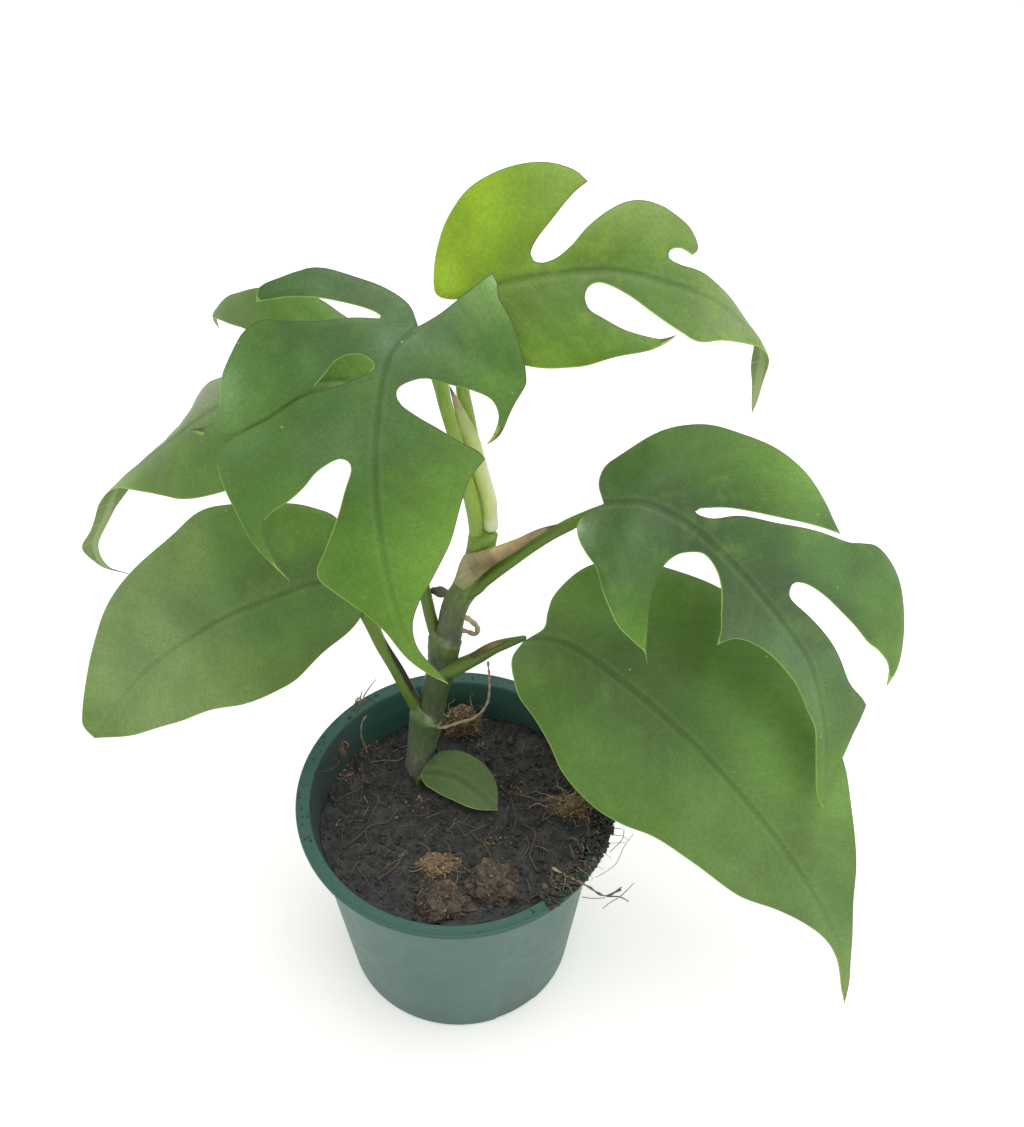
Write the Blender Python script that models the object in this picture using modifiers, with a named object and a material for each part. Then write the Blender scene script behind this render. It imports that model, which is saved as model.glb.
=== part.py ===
"""Potted young split-leaf vine ("mini monstera") in a round plastic nursery pot.

Metres, +Z up. The origin is the centre of the pot's flat underside, -Y is the front.
Named sizes below are in millimetres and are scaled by MM where a mesh is made.
"""
import math

import bmesh
import bpy
import numpy as np
from mathutils import Vector, noise
from mathutils.bvhtree import BVHTree
from mathutils.geometry import delaunay_2d_cdt

MM = 0.001
GAP = 0.3  # clearance between neighbouring pieces

# ---- nursery pot ----
RIM_RADIUS = 54.0
POT_HEIGHT = 86.0
BASE_RADIUS = 39.6
WALL = 1.4
FLOOR = 1.6
FLANGE_WIDTH = 5.0
LIP_DEPTH = 1.6
SKIRT_RADIUS = 49.8
SKIRT_END = 77.0
BODY_TOP_RADIUS = 48.6
SOIL_CLEARANCE = 0.45
POT_SEGMENTS = 56
DRAIN_SLOTS = 3
DRAIN_FIRST_ANGLE = -59.5
DRAIN_WIDTH = 15.0
DRAIN_RISE = 2.2
DRAIN_DEPTH = 8.0
DRAIN_OVERCUT = 2.0

# ---- potting mix ----
SOIL_LEVEL = 75.8
SOIL_SLOPE_X = 0.07
SOIL_SLOPE_Y = -0.13
HEAP_CENTRE = (44.0, -12.0)
HEAP_RISE = 5.0
HEAP_SPREAD = 14.0
SOIL_SEGMENTS = 48
LUMP_LIFT = 0.25  # share of a clod's height by which its middle stands above the mix
LUMP_ROUGHNESS = 0.28
SPILL_START = -35.0
SPILL_STEP = 4.5
SPILL_POINTS = 12
SPILL_RADIUS = 1.5

# ---- plant ----
LEAF_THICKNESS = 0.8
SHEATH_THICKNESS = 0.6
JOINT_ALONG = 2.0  # how far along the midrib its petiole ends
JOINT_TAPER = 0.85
JOINT_GAP = 0.4
LEAF_GRID = 9.0
LEAF_STEP = 5.0
SHEATH_GRID = 2.2
SHEATH_STEP = 4.0

# Stem axis from its buried end to the top node: x, y, z, radius.
STEM = [
    (-12.8, 20.5, 50, 3.6), (-13, 21.2, 60, 5.0), (-13.1, 22, 69.6, 5.5), (-12.8, 23, 80, 4.9),
    (-11.5, 23.6, 89, 5.2), (-10.3, 24, 96.3, 5.7), (-9.7, 24.3, 101, 5.8), (-7.9, 24.8, 103.6, 4.6),
    (-7.1, 25.4, 109.1, 4.4), (-6.1, 26, 114.9, 4.6), (-4.4, 27.2, 121.5, 4.8),
    (-3.8, 28.2, 127.7, 5.1), (-2.9, 29.4, 135.2, 5.4), (-1.6, 29.9, 137.8, 4.4),
    (-0.2, 31, 145.1, 4.2), (1.6, 32.2, 151.2, 4.3), (3.7, 32.9, 155.3, 4.3), (6, 34, 160.9, 4.3),
    (8, 35, 167.5, 4.3), (9.2, 36, 172.6, 4.4), (10.1, 36.8, 178.4, 4.5),
]

# Petioles from the stem outwards: x, y, z, radius. The last stretch to the blade is added.
PETIOLES = {
    1: [(-10.5, 25, 96, 3.2), (-12, 25, 98.4, 2.9), (-13.2, 25.4, 103, 2.6),
        (-16, 26.3, 110.7, 2.5), (-19.7, 28.5, 119.9, 2.35), (-22.9, 31, 125.5, 2.25),
        (-25.4, 33.8, 129.2, 2.2), (-29.2, 39.5, 135, 2.2)],
    2: [(-3.5, 30, 129.5, 2.6), (-5.3, 30, 132.3, 2.4), (-6.1, 30.6, 135.8, 2.15),
        (-7.7, 32.6, 143.1, 2.1), (-8.9, 34.8, 149.5, 2.1), (-13, 41, 172, 2.05),
        (-17, 47, 203, 2.0)],
    3: [(-5.5, 25.5, 122.5, 2.0), (-3.4, 23.9, 124.2, 2.6), (-0.7, 23.8, 125.8, 2.75),
        (2.6, 24.4, 127.2, 2.6), (7.3, 25, 130.1, 2.25), (11.6, 25, 134.1, 2.0),
        (15.2, 24.8, 136.9, 1.9)],
    4: [(3, 31.6, 153.5, 2.5), (5.6, 31, 156.6, 2.45), (8.2, 31.2, 159, 2.35),
        (10.8, 31.4, 162.2, 2.15), (18.5, 31.6, 170.6, 2.1), (26.8, 31.8, 179, 1.95),
        (35.5, 31.9, 186.5, 1.75)],
    5: [(7.8, 36, 179.4, 2.1), (7.4, 36.2, 187.3, 2.1), (6.4, 36.7, 194.4, 2.15),
        (4.9, 37.3, 202.2, 2.08), (3.3, 37.7, 212.2, 1.93), (1.8, 38.2, 220.2, 1.86),
        (0.2, 38.8, 227.9, 1.86), (-0.9, 39.4, 233.4, 1.9), (-1.9, 40.2, 239.5, 2.0),
        (-5, 39.5, 254, 2.0)],
    6: [(12.3, 38.3, 179.6, 1.6), (12.1, 38.7, 184.2, 1.75), (11.7, 39.3, 191.3, 1.95),
        (9.9, 40.4, 199.6, 2.0), (8, 41.8, 208.3, 2.0), (6.7, 43, 216.9, 2.1),
        (5.5, 44.3, 224.8, 2.15), (4.4, 45.5, 231.7, 2.15), (4.1, 46.8, 243, 2.05),
        (4.6, 47.8, 254, 2.0)],
}

# Each leaf: its midrib in space, a direction towards its right-hand side, and per-side
# profiles along the midrib (evenly spaced values): fold is the angle by which a half rises
# from the midrib, curl the degrees a millimetre by which it droops outwards, roll the twist.
# chord is the share of the length over which the midrib's direction is averaged. The outline
# is (along, across) from the petiole round the right side to the tip and back along the
# left; a third value of 1 marks a sharp corner.
LEAVES = {
    1: {
        "midrib": [(-35, 47, 143), (-48, 46, 143), (-61, 44, 138), (-72, 44, 132),
                   (-84, 43, 124), (-101, 40, 111), (-114, 36, 98), (-125, 28, 84)],
        "side": (-0.2, 0.75, 0.6),
        "outline": [(1, 0, 1), (-2, 6), (-3, 13), (1, 22), (7.3, 25.5), (17, 29), (31, 35), (42, 37),
                    (54, 34.2), (70, 31.5), (81, 28), (91, 22), (101, 16), (111.6, 10), (115.8, 6.4),
                    (116.6, 0.4, 1), (103.4, -12.5), (86, -21), (67, -25.2), (52, -29.4), (38, -30),
                    (22, -27), (8.6, -20.7), (-0.3, -14.4), (-4, -9), (-3, -4)],
    },
    2: {
        "midrib": [(-19, 49, 230), (-32, 45, 236), (-46, 43, 236), (-62, 44, 230),
                   (-73, 44, 223), (-85, 43, 213), (-96, 45, 201), (-104, 45, 192),
                   (-109, 43, 180), (-114, 41, 168), (-112, 41, 158), (-107, 45, 150)],
        "side": (0, 0.75, 0.6),
        "chord": 0.1,
        "roll": (0, 0, 0, 0, 0, 0, 0, 0, -40, -85, -95, -95, -95),
        "fold_right": (8, 8, 8, 2, -4, -34, -50, -50, -30, 0, 0, 0),
        "fold_left": (8, 8, 8, 8, 4, 0, 0, 0, 0, 0),
        "curl_right": (0.5, 0.5, 0.5, 0.8, 1.2, 1.5, 1.5, 1, 0, 0, 0),
        "outline": [(0, 0, 1), (2, 8), (6, 15), (13.4, 19.5), (20, 25), (28, 29), (36, 32), (43, 34.5),
                    (49.6, 38), (58, 39.6, 1), (51, 30.2), (45.9, 24.3), (40, 19.5), (37, 15), (35, 11.5),
                    (37, 8.5), (43, 7.2), (50, 8.1), (58, 9.7), (66, 11.4), (74, 11.5), (82, 10.5),
                    (90, 8.5), (98, 6), (106, 4), (114, 1.7), (124, 1), (134, 0.7), (144, 0.4),
                    (151, 0, 1), (144, -1.5), (137, -3), (131, -4.5), (124, -3), (114, -4),
                    (106, -4.4), (100, -5.6), (95.5, -8), (90, -11), (83.6, -14.8), (78, -18.4),
                    (70, -21.9), (61, -24.5), (52, -25), (44, -24), (34, -21), (25, -17.5),
                    (12, -10.5), (4, -5)],
    },
    3: {
        "midrib": [(21, 23, 143), (35, 24, 140), (48, 20, 133), (68, 9, 121), (86, -3, 108),
                   (104, -17, 92), (119, -32, 76), (128, -44, 61), (130, -55, 45)],
        "side": (-0.6, -0.62, -0.3),
        "chord": 0.15,
        "fold_left": (10, 10, 10),
        "fold_right": (10, 10, 10),
        "curl_left": (0.5, 0.6, 0.5),
        "curl_right": (0.5, 0.6, 0.5),
        "outline": [(2, 1, 1), (-0.5, 7), (2, 14), (8, 22), (21, 30), (40, 36), (57, 38), (70, 36),
                    (83, 31), (100, 27), (118.5, 22.2), (131, 14.4), (140, 9), (150, 4), (158, 1.8),
                    (168, 0.6), (176.5, -0.7, 1), (170, -2.4), (159, -4), (145, -10), (133.3, -18.5),
                    (120, -27), (108.3, -34.7), (98, -38), (86, -42), (72, -46), (58, -48),
                    (45, -46), (33, -40), (23.2, -33.7), (13.8, -26), (7.6, -15.7), (7, -9), (7.4, -3.3)],
    },
    4: {
        "midrib": [(47, 32, 197), (60, 29, 200), (76, 25, 192), (91, 20, 177), (105, 16, 158),
                   (114, 12, 144), (118, 6, 132), (121, -1, 118), (121, -14, 102)],
        "side": (-0.55, -0.7, -0.35),
        "chord": 0.2,
        "outline": [(0, 0, 1), (-4.4, 4.8), (-6, 9.5), (-3.6, 14.5), (3, 21), (8, 28.5), (13, 34),
                    (20, 38.5), (30, 40), (39, 40), (44, 42, 1), (36, 37), (29, 30), (26.5, 23),
                    (26.4, 16), (29, 10.5), (33.2, 6.9), (38, 4.5), (44, 5.5), (49, 8.5), (55, 14.5),
                    (59, 18), (61.5, 22, 1), (63, 19.5), (66, 16), (72, 13), (81, 10.5), (93, 9),
                    (109, 6), (118, 4), (128, 4.5), (141, 3), (147, 0, 1), (139, -2), (131.4, -6.8),
                    (125.5, -10.7), (121.6, -14.5), (118, -18, 1), (115.3, -16.8), (109.2, -13),
                    (101, -11.4), (92, -10), (82, -8.5), (73, -7), (70, -9), (70, -11.5),
                    (74, -14.5), (81, -17), (91, -19.5), (101, -23.5), (106, -28), (111, -31),
                    (115.7, -28.6, 1), (113, -35), (108, -40.5), (102, -44.5), (95, -47), (88, -46.5),
                    (83, -44.5), (79, -40), (74.5, -35), (62.4, -27), (51.6, -19.4), (41.3, -12.7),
                    (35, -6.5), (30.8, -4.5), (28.5, -4.5), (29.4, -6), (31.6, -7.7), (37.5, -12.2),
                    (49.4, -20), (62.2, -28.6), (72, -35, 1), (67.5, -36), (61, -37.7), (51, -39),
                    (41, -37.5), (31.3, -34.1), (22, -31), (12, -24.5), (4, -18), (-1.7, -12.4),
                    (-3, -6)],
    },
    5: {
        "midrib": [(-7, 35, 266), (-15, 29, 260), (-19, 21, 243), (-20, 12, 224), (-18, 2, 205),
                   (-14, -8, 190), (-9, -15, 182), (0, -21, 176)],
        "side": (-1, 0, -0.05),
        "chord": 0.25,
        "fold_left": (20, 14, 10, 8, 8, 8),
        "outline": [(0, 0, 1), (-4.4, 5), (-5.6, 13), (-4.6, 22), (-2.9, 31), (0, 36.5), (4, 39.5),
                    (8, 41.8), (11.5, 40.5, 1), (9.5, 37), (6.5, 32), (4, 26), (2, 18), (1.4, 12),
                    (2.4, 9.9), (5, 14.8), (9.5, 22), (12.5, 30), (14.5, 37), (18.5, 41.5),
                    (24, 44), (30, 46), (34, 45.5), (38, 48), (40, 55, 1), (40, 49), (37.2, 39),
                    (34, 32), (30.5, 26.5), (26, 20), (22, 16.5), (17.5, 14), (14.5, 10),
                    (14, 6), (15.5, 3.5), (18, 4.5), (21, 8), (24.5, 13), (28, 18.5), (32, 25),
                    (35.5, 31), (39, 38.5), (43.5, 45.5), (46.5, 46.5), (52, 45), (60, 41),
                    (65, 38.5), (70, 34), (75, 29, 1), (69, 32.5), (64, 34.5), (60.5, 34),
                    (57.5, 30.5), (55, 25.7), (51.4, 21), (47.3, 17.3), (44.6, 13.7), (43, 10.5),
                    (43.5, 8), (46, 7), (52, 9), (60, 12), (68, 16.5), (73, 20), (76, 20),
                    (80, 16), (87, 9.5), (95, 5), (104, 3), (112, 1.5), (117, 0, 1), (110, -1),
                    (102, -1.4), (95.5, -3.2), (90, -7), (83, -13), (71, -20), (57, -24.5),
                    (49, -27), (43, -30), (40, -31.5, 1), (36, -29.5), (32.5, -25), (29, -19),
                    (26.5, -11.5), (24.5, -6.5), (22, -4.5), (19.3, -5), (16.3, -7.7), (13.5, -12),
                    (12.5, -19), (11.4, -25), (11.8, -31), (16.5, -34.2), (24, -33.9), (31, -31.8, 1),
                    (25, -35.4), (17, -37), (8, -37.1), (-3, -33), (-10, -28), (-15, -23),
                    (-18, -17), (-21, -12, 1), (-14, -8), (-6, -4)],
    },
    6: {
        "midrib": [(7, 45, 268), (16, 45, 273), (33, 46, 276), (49, 48, 275), (65, 48, 270),
                   (77, 48, 264), (86, 46, 257), (92, 47, 248), (92, 46, 236), (91, 44, 222)],
        "side": (0.1, -0.7, -0.6),
        "chord": 0.12,
        "roll": (0, 0, 0, 0, 0, 0, 0, 20, 75, 85),
        "fold_left": (8, 8, 8, 8, 6, 0, -20, -20, 0, 0),
        "fold_right": (8, 8, 8, 8, 8, 8, 0, 0, 0, 0),
        "curl_left": (0.5, 0.5, 0.5, 0.5, 0.8, 1.5, 1.5, 0, 0, 0),
        "outline": [(0, 0, 1), (-1, 7), (1, 14), (6, 21), (15, 25.3), (26, 26.7), (37, 26.2),
                    (54, 21.7), (65, 15, 1), (60, 16.3), (47, 16.4), (38.4, 13.2), (34.5, 10.5), (34, 6.2),
                    (38, 3.5), (47, 6.3), (56, 9.7), (66, 12.5), (74, 13.2), (82, 8.2), (92, 4.5),
                    (103, 2.4), (110, 1.3), (117, 0.6), (121.5, -0.3, 1), (117, -1.1), (110, -2),
                    (103, -3.3), (95, -3.5), (89, -4.2), (81, -4.7), (74, -5.3), (67, -6.4),
                    (61, -6.2), (57.5, -7), (57.5, -9.5), (60.5, -11), (63.8, -10.2, 1),
                    (65, -13.2), (61.9, -18.8), (56, -21), (50, -21.5), (45, -20), (40, -16.5),
                    (35, -12), (31, -7.5), (27, -4.5), (23, -3.5), (20.5, -4.5), (20, -6.5),
                    (22, -10), (27, -15.5), (32, -21.5), (35.7, -25, 1), (32.7, -28.7), (27, -31.5),
                    (20, -32), (13, -30.5), (6.8, -27.9), (0.6, -23.4), (-4, -17), (-7.7, -9.8),
                    (-9, -4), (-5, -1)],
    },
}
SMALL_LEAF = {
    "midrib": [(-12.4, 13.8, 80.6), (-6, 12.4, 83), (1, 9.4, 83.2), (8, 4, 82.3), (14, -1.2, 80.2)],
    "side": (-0.3, -0.7, -0.3),
    "outline": [(0, 0, 1), (1, 2.5), (4, 5.5), (11, 7.5), (19, 7), (26, 5), (32, 0, 1),
                (27, -5.5), (21, -8.5), (14, -9.3), (9, -8.5), (5, -6.5), (2, -3)],
}
SMALL_PETIOLE = [(-13, 14.8, 60, 0.9), (-13.2, 14.4, 70, 0.9), (-13.4, 13.6, 77, 0.9)]

# Sheaths and their dry remains, shaped as narrow blades that wrap what they grew around.
SHEATHS = {
    "green_sheath": {
        "midrib": [(12.3, 35.95, 179.6), (12.1, 36.25, 185), (11.7, 36.65, 191.8),
                   (9.9, 37.6, 199.8), (7.9, 38.7, 208.6), (6.3, 39.5, 216.9), (4.5, 40.2, 224.6),
                   (2.8, 40.5, 231.2), (0.8, 40.9, 237.7)],
        "side": (1, 0, 0),
        "curl": (24, 22.5, 21.5, 20, 16, 12, 10, 8, 8), "finish": "pale_sheath",
        "outline": [(0, -3.1, 1), (0, 3.1, 1), (6, 3.3), (12, 3.5), (20, 3.6), (30, 3.4),
                    (38, 3), (46, 2), (53, 1.05), (60, 0, 1), (53, -1.05), (46, -2), (38, -2.9),
                    (30, -3.3), (20, -3.6), (12, -3.5), (6, -3.3)],
    },
    "dry_sheath": {
        "midrib": [(3.9, 27.6, 160.6), (8.6, 27.7, 167.4), (15, 28.3, 175.2), (24, 30.6, 182.4),
                   (33.4, 31.2, 188.8)],
        "side": (0.86, 0.04, -0.48),
        "roll": (0, 10, 35, 50, 60),
        "curl": (9, 7.8, 6.4, 5, 4.5, 5, 6, 8, 8), "finish": "dry_sheath",
        "outline": [(0.5, -4.8, 1), (0.6, -0.6, 1), (5, 0), (9, 0), (13.5, 0.3), (19, 0.6),
                    (26, 1.3), (33.3, 0.8), (38, 0.4), (42, 0.2, 1), (36, -1), (28, -1.8),
                    (24, -2.8), (20, -4), (18, -4.8), (15, -6), (12, -7.6), (9.6, -8.7, 1),
                    (6, -7.2), (3, -5.7)],
    },
    "dry_strip_3": {
        "midrib": [(5.7, 23.8, 132.3), (9.9, 23.9, 136.1), (13.5, 23.7, 138.8),
                   (17.2, 23.3, 140.9)],
        "side": (0.28, -0.91, -0.3),
        "curl": (14, 14), "finish": "dry_sheath",
        "outline": [(0, -0.6, 1), (0, 0.6, 1), (5, 0.9), (10, 0.8), (14.8, 0, 1), (10, -0.8),
                    (5, -0.9)],
    },
    "dry_strip_1": {
        "midrib": [(-12.1, 24, 108.1), (-13.6, 24.5, 111.8), (-17.4, 26.8, 121),
                   (-20.4, 29.3, 126.4), (-23, 32.3, 130.9)],
        "side": (0.62, 0.78, 0),
        "curl": (10, 10), "finish": "dry_sheath",
        "outline": [(0, -0.5, 1), (0, 0.5, 1), (8, 0.8), (17, 0.7), (27, 0, 1), (17, -0.7),
                    (8, -0.8)],
    },
}

# Free roots: x, y, z, radius. Those that start inside the stem are cut back to its surface.
STEM_ROOTS = {
    "aerial_root_loop": [(0.3, 31, 148, 0.9), (3.1, 32.1, 143.4, 0.9), (5.3, 33.1, 140, 0.9),
                         (7.1, 33.5, 137.1, 0.85), (7.8, 33.4, 134.5, 0.85),
                         (6.9, 33, 132.9, 0.8), (4.9, 32.4, 134.5, 0.75), (2.3, 31.2, 137.2, 0.7),
                         (-0.4, 30.4, 138.6, 0.7)],
    "aerial_root_nub": [(-0.5, 33.5, 151.5, 1.3), (-2.8, 35.3, 151, 1.6),
                        (-4.6, 36.6, 150.2, 1.8), (-6.4, 37.6, 149.6, 1.2)],
    "aerial_root_thread": [(-8.5, 23, 97, 0.7), (-5, 18.7, 100.2, 0.65), (-0.8, 18.4, 102.5, 0.6),
                           (2.9, 18.8, 103.8, 0.55), (6.5, 19.6, 104.8, 0.5),
                           (9.7, 20.6, 108.2, 0.5), (11.2, 21.6, 112.1, 0.5),
                           (11.6, 22.4, 117.4, 0.45), (11.6, 22.9, 123, 0.4),
                           (11.2, 23.3, 130.3, 0.4)],
}
STRAY_ROOTS = {
    "stray_root_right": [(32.6, -27.2, 84.8, 0.6), (36.5, -31, 86.4, 0.6), (40.5, -34, 87.7, 0.6),
                         (44, -36.4, 88.1, 0.5), (47, -38.6, 88, 0.5), (49.8, -40, 88.5, 0.4),
                         (54.2, -38.4, 89.6, 0.4)],
    "stray_root_left": [(-32, 28.5, 71.6, 0.6), (-33.2, 29.3, 77, 0.6), (-33.8, 30.5, 81, 0.5),
                        (-33.4, 32.4, 84.5, 0.5), (-31.8, 33.6, 87, 0.4)],
}
SURFACE_ROOTS = {
    "surface_root_1": [(15, 12), (20, 8), (25, 7), (30, 11)],
    "surface_root_2": [(23, -6), (27, -12), (25, -19), (27, -25)],
    "surface_root_3": [(-42, 8), (-36, 11), (-33, 17), (-34, 24)],
    "surface_root_4": [(-36, -12), (-30, -7), (-24, -3), (-20, 3)],
    "surface_root_5": [(5, -8), (9, -13), (12, -20)],
    "surface_root_6": [(24, -38), (30, -34), (33, -28)],
    "surface_root_7": [(-25, -28), (-19, -22), (-16, -15)],
}

# Clods in the potting mix: centre x, y, the three radii, seed of the shape, finish.
LUMPS = {
    "peat_lump_front": ((-3, -39), (8.5, 6.5, 5), 1.7, "peat"),
    "peat_lump_right": ((13, -32), (8, 8, 6.5), 5.2, "coir"),
    "coir_clump": ((-5, -22), (8, 4.5, 3.5), 8.8, "coir"),
    "fibre_clump_right": ((35, 0), (10.5, 4.5, 4), 3.1, "coir"),
    "fibre_clump_back": ((1, 39.5), (6, 4, 9), 6.4, "coir"),
}

# Colour, roughness of each finish.
FINISHES = {
    "pot_plastic": ((0.045, 0.17, 0.14), 0.45),
    "peat": ((0.018, 0.012, 0.008), 0.95),
    "coir": ((0.16, 0.075, 0.035), 0.95),
    "root": ((0.26, 0.15, 0.07), 0.85),
    "leaf_green": ((0.055, 0.16, 0.03), 0.42),
    "young_leaf": ((0.16, 0.33, 0.035), 0.42),
    "stem_green": ((0.07, 0.14, 0.05), 0.5),
    "petiole_green": ((0.1, 0.24, 0.04), 0.45),
    "pale_sheath": ((0.38, 0.5, 0.16), 0.55),
    "dry_sheath": ((0.3, 0.2, 0.11), 0.8),
}


# ---------------------------------------------------------------- scene helpers
def clear_scene():
    for item in list(bpy.data.objects):
        bpy.data.objects.remove(item, do_unlink=True)


def new_collection(name):
    group = bpy.data.collections.new(name)
    bpy.context.scene.collection.children.link(group)
    return group


def finish(name):
    found = bpy.data.materials.get(name)
    if found:
        return found
    colour, roughness = FINISHES[name]
    made = bpy.data.materials.new(name)
    made.use_nodes = True
    shader = made.node_tree.nodes["Principled BSDF"]
    shader.inputs["Base Color"].default_value = (*colour, 1)
    shader.inputs["Roughness"].default_value = roughness
    shader.inputs["Metallic"].default_value = 0
    return made


def add_object(name, data, material, group):
    item = bpy.data.objects.new(name, data)
    if material:
        data.materials.append(finish(material))
    group.objects.link(item)
    return item


def as_cutter(item):
    item.hide_render = True
    item.display_type = "WIRE"
    return item


def cut(item, cutter):
    change = item.modifiers.new("cut_" + cutter.name, "BOOLEAN")
    change.operation = "DIFFERENCE"
    change.solver = "EXACT"
    change.object = cutter


def evaluated_mesh(item):
    graph = bpy.context.evaluated_depsgraph_get()
    return bpy.data.meshes.new_from_object(item.evaluated_get(graph))


def mesh_from_bmesh(name, work):
    bmesh.ops.recalc_face_normals(work, faces=work.faces)
    data = bpy.data.meshes.new(name)
    work.to_mesh(data)
    work.free()
    data.shade_smooth()
    return data


# ---------------------------------------------------------------- curves
def smooth_path(points, spans):
    """Catmull-Rom curve through the points, spans steps between each pair."""
    knots = np.asarray(points, float)
    knots = np.vstack([2 * knots[0] - knots[1], knots, 2 * knots[-1] - knots[-2]])
    parts = []
    for i in range(1, len(knots) - 2):
        a, b, c, d = knots[i - 1:i + 3]
        t = (np.arange(spans) / spans)[:, None]
        parts.append(0.5 * (2 * b + (c - a) * t + (2 * a - 5 * b + 4 * c - d) * t ** 2
                            + (3 * b - a - 3 * c + d) * t ** 3))
    parts.append(knots[-2:-1])
    return np.vstack(parts)


def tube_curve(name, points, material, group, sides=8, spans=3):
    """Round tube through x, y, z, radius points, with filled caps."""
    path = smooth_path(points, spans)
    data = bpy.data.curves.new(name, "CURVE")
    data.dimensions = "3D"
    data.bevel_depth = MM
    data.bevel_resolution = sides // 2 - 2
    data.render_resolution_u = 0
    data.use_fill_caps = True
    spline = data.splines.new("POLY")
    spline.points.add(len(path) - 1)
    for point, (x, y, z, radius) in zip(spline.points, path):
        point.co = (x * MM, y * MM, z * MM, 1)
        point.radius = radius
    return add_object(name, data, material, group)


def tube_mesh(name, points, material, group, sides=8, spans=3):
    """The same tube as a welded mesh, which can be cut or can cut."""
    curve = tube_curve(name + "_axis", points, material, group, sides, spans)
    data = evaluated_mesh(curve)
    work = bmesh.new()
    work.from_mesh(data)
    bmesh.ops.remove_doubles(work, verts=work.verts, dist=0.00001)
    work.to_mesh(data)
    work.free()
    data.shade_smooth()
    bpy.data.objects.remove(curve, do_unlink=True)
    data.name = name
    item = bpy.data.objects.new(name, data)
    group.objects.link(item)
    return item


def grown(points, extra):
    """The route of a cutter: a little thicker, and longer at its buried start."""
    x, y, z, radius = points[0]
    return [(x, y, z - 1, radius + extra)] + [(*p[:3], p[3] + extra) for p in points[1:]]


# ---------------------------------------------------------------- leaf blades
def profile(values, t):
    return np.interp(t, np.linspace(0, 1, len(values)), values)


class Blade:
    """Maps (along, across) millimetres of a flat leaf to its place in space."""

    def __init__(self, leaf):
        self.leaf = leaf
        self.rib = smooth_path(leaf["midrib"], 40)
        steps = np.linalg.norm(np.diff(self.rib, axis=0), axis=1)
        self.run = np.concatenate([[0], np.cumsum(steps)])
        self.length = self.run[-1]
        self.reach = leaf.get("chord", 0.18) * self.length
        self.side = np.array(leaf["side"], float) / np.linalg.norm(leaf["side"])

    def rib_point(self, along):
        inside = np.clip(along, 0, self.length)
        return np.stack([np.interp(inside, self.run, self.rib[:, k]) for k in range(3)], -1)

    def rib_extended(self, along):
        ends = self.rib_point(np.array([0, self.reach, self.length - 0.3 * self.reach, self.length]))
        first = (ends[1] - ends[0]) / np.linalg.norm(ends[1] - ends[0])
        last = (ends[3] - ends[2]) / np.linalg.norm(ends[3] - ends[2])
        before = np.clip(-along, 0, None)[..., None]
        after = np.clip(along - self.length, 0, None)[..., None]
        return self.rib_point(along) - first * before + last * after

    def frame(self, along):
        """Rib point, forward, right and up directions."""
        forward = self.rib_extended(along + self.reach) - self.rib_extended(along - self.reach)
        forward /= np.linalg.norm(forward, axis=-1, keepdims=True)
        right = self.side - (forward @ self.side)[..., None] * forward
        right /= np.linalg.norm(right, axis=-1, keepdims=True)
        up = np.cross(right, forward)
        share = np.clip(along / self.length, 0, 1)
        roll = np.radians(profile(self.leaf.get("roll", (0, 0)), share))[..., None]
        turned = right * np.cos(roll) + up * np.sin(roll)
        return self.rib_extended(along), forward, turned, up * np.cos(roll) - right * np.sin(roll)

    def shape(self, kind, share, on_right, usual):
        right = profile(self.leaf.get(kind + "_right", usual), share)
        left = profile(self.leaf.get(kind + "_left", usual), share)
        return np.radians(np.where(on_right, right, left))

    def place(self, along, across):
        along = np.asarray(along, float)
        across = np.asarray(across, float)
        rib, _, right, up = self.frame(along)
        share = np.clip(along / self.length, 0, 1)
        fold = self.shape("fold", share, across >= 0, (8, 8))
        curl = np.maximum(self.shape("curl", share, across >= 0, (0.5, 0.5)), 1e-6)
        width = np.abs(across)
        outwards = (np.sin(fold) - np.sin(fold - curl * width)) / curl
        upwards = (np.cos(fold - curl * width) - np.cos(fold)) / curl
        return rib + right * (np.sign(across) * outwards)[..., None] + up * upwards[..., None]


def smooth_outline(points, step):
    """Closed loop through the outline's points, smooth except at its marked corners."""
    flat = [(p[0], p[1]) for p in points]
    corners = [i for i, p in enumerate(points) if len(p) == 3]
    loop = []
    for here, after in zip(corners, corners[1:] + [corners[0] + len(flat)]):
        knots = [flat[i % len(flat)] for i in range(here, after + 1)]
        fine = smooth_path(knots, 12)
        for k in range(len(knots) - 1):
            piece = fine[k * 12:k * 12 + 13]
            run = np.linalg.norm(np.diff(piece, axis=0), axis=1).sum()
            count = max(1, round(run / step))
            picks = [round(12 * n / count) for n in range(count)]
            loop.extend(tuple(piece[n]) for n in picks)
    return loop


def inside_points(loop, grid):
    """Grid points inside the loop and not close to it."""
    edge = np.array(loop)
    low, high = edge.min(axis=0), edge.max(axis=0)
    found = []
    after = np.roll(edge, -1, axis=0)
    span = after - edge
    for a in np.arange(low[0] + grid / 2, high[0], grid):
        for b in np.arange(low[1] + grid / 2, high[1], grid):
            t = ((a - edge[:, 0]) * span[:, 0] + (b - edge[:, 1]) * span[:, 1]) / (span ** 2).sum(1)
            t = np.clip(t, 0, 1)
            off = np.hypot(edge[:, 0] + span[:, 0] * t - a, edge[:, 1] + span[:, 1] * t - b)
            crossing = (edge[:, 1] > b) != (after[:, 1] > b)
            with np.errstate(divide="ignore", invalid="ignore"):
                at = edge[:, 0] + (b - edge[:, 1]) / span[:, 1] * span[:, 0]
            if off.min() > 0.4 * grid and np.count_nonzero(crossing & (a < at)) % 2:
                found.append((a, b))
    return found


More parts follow.
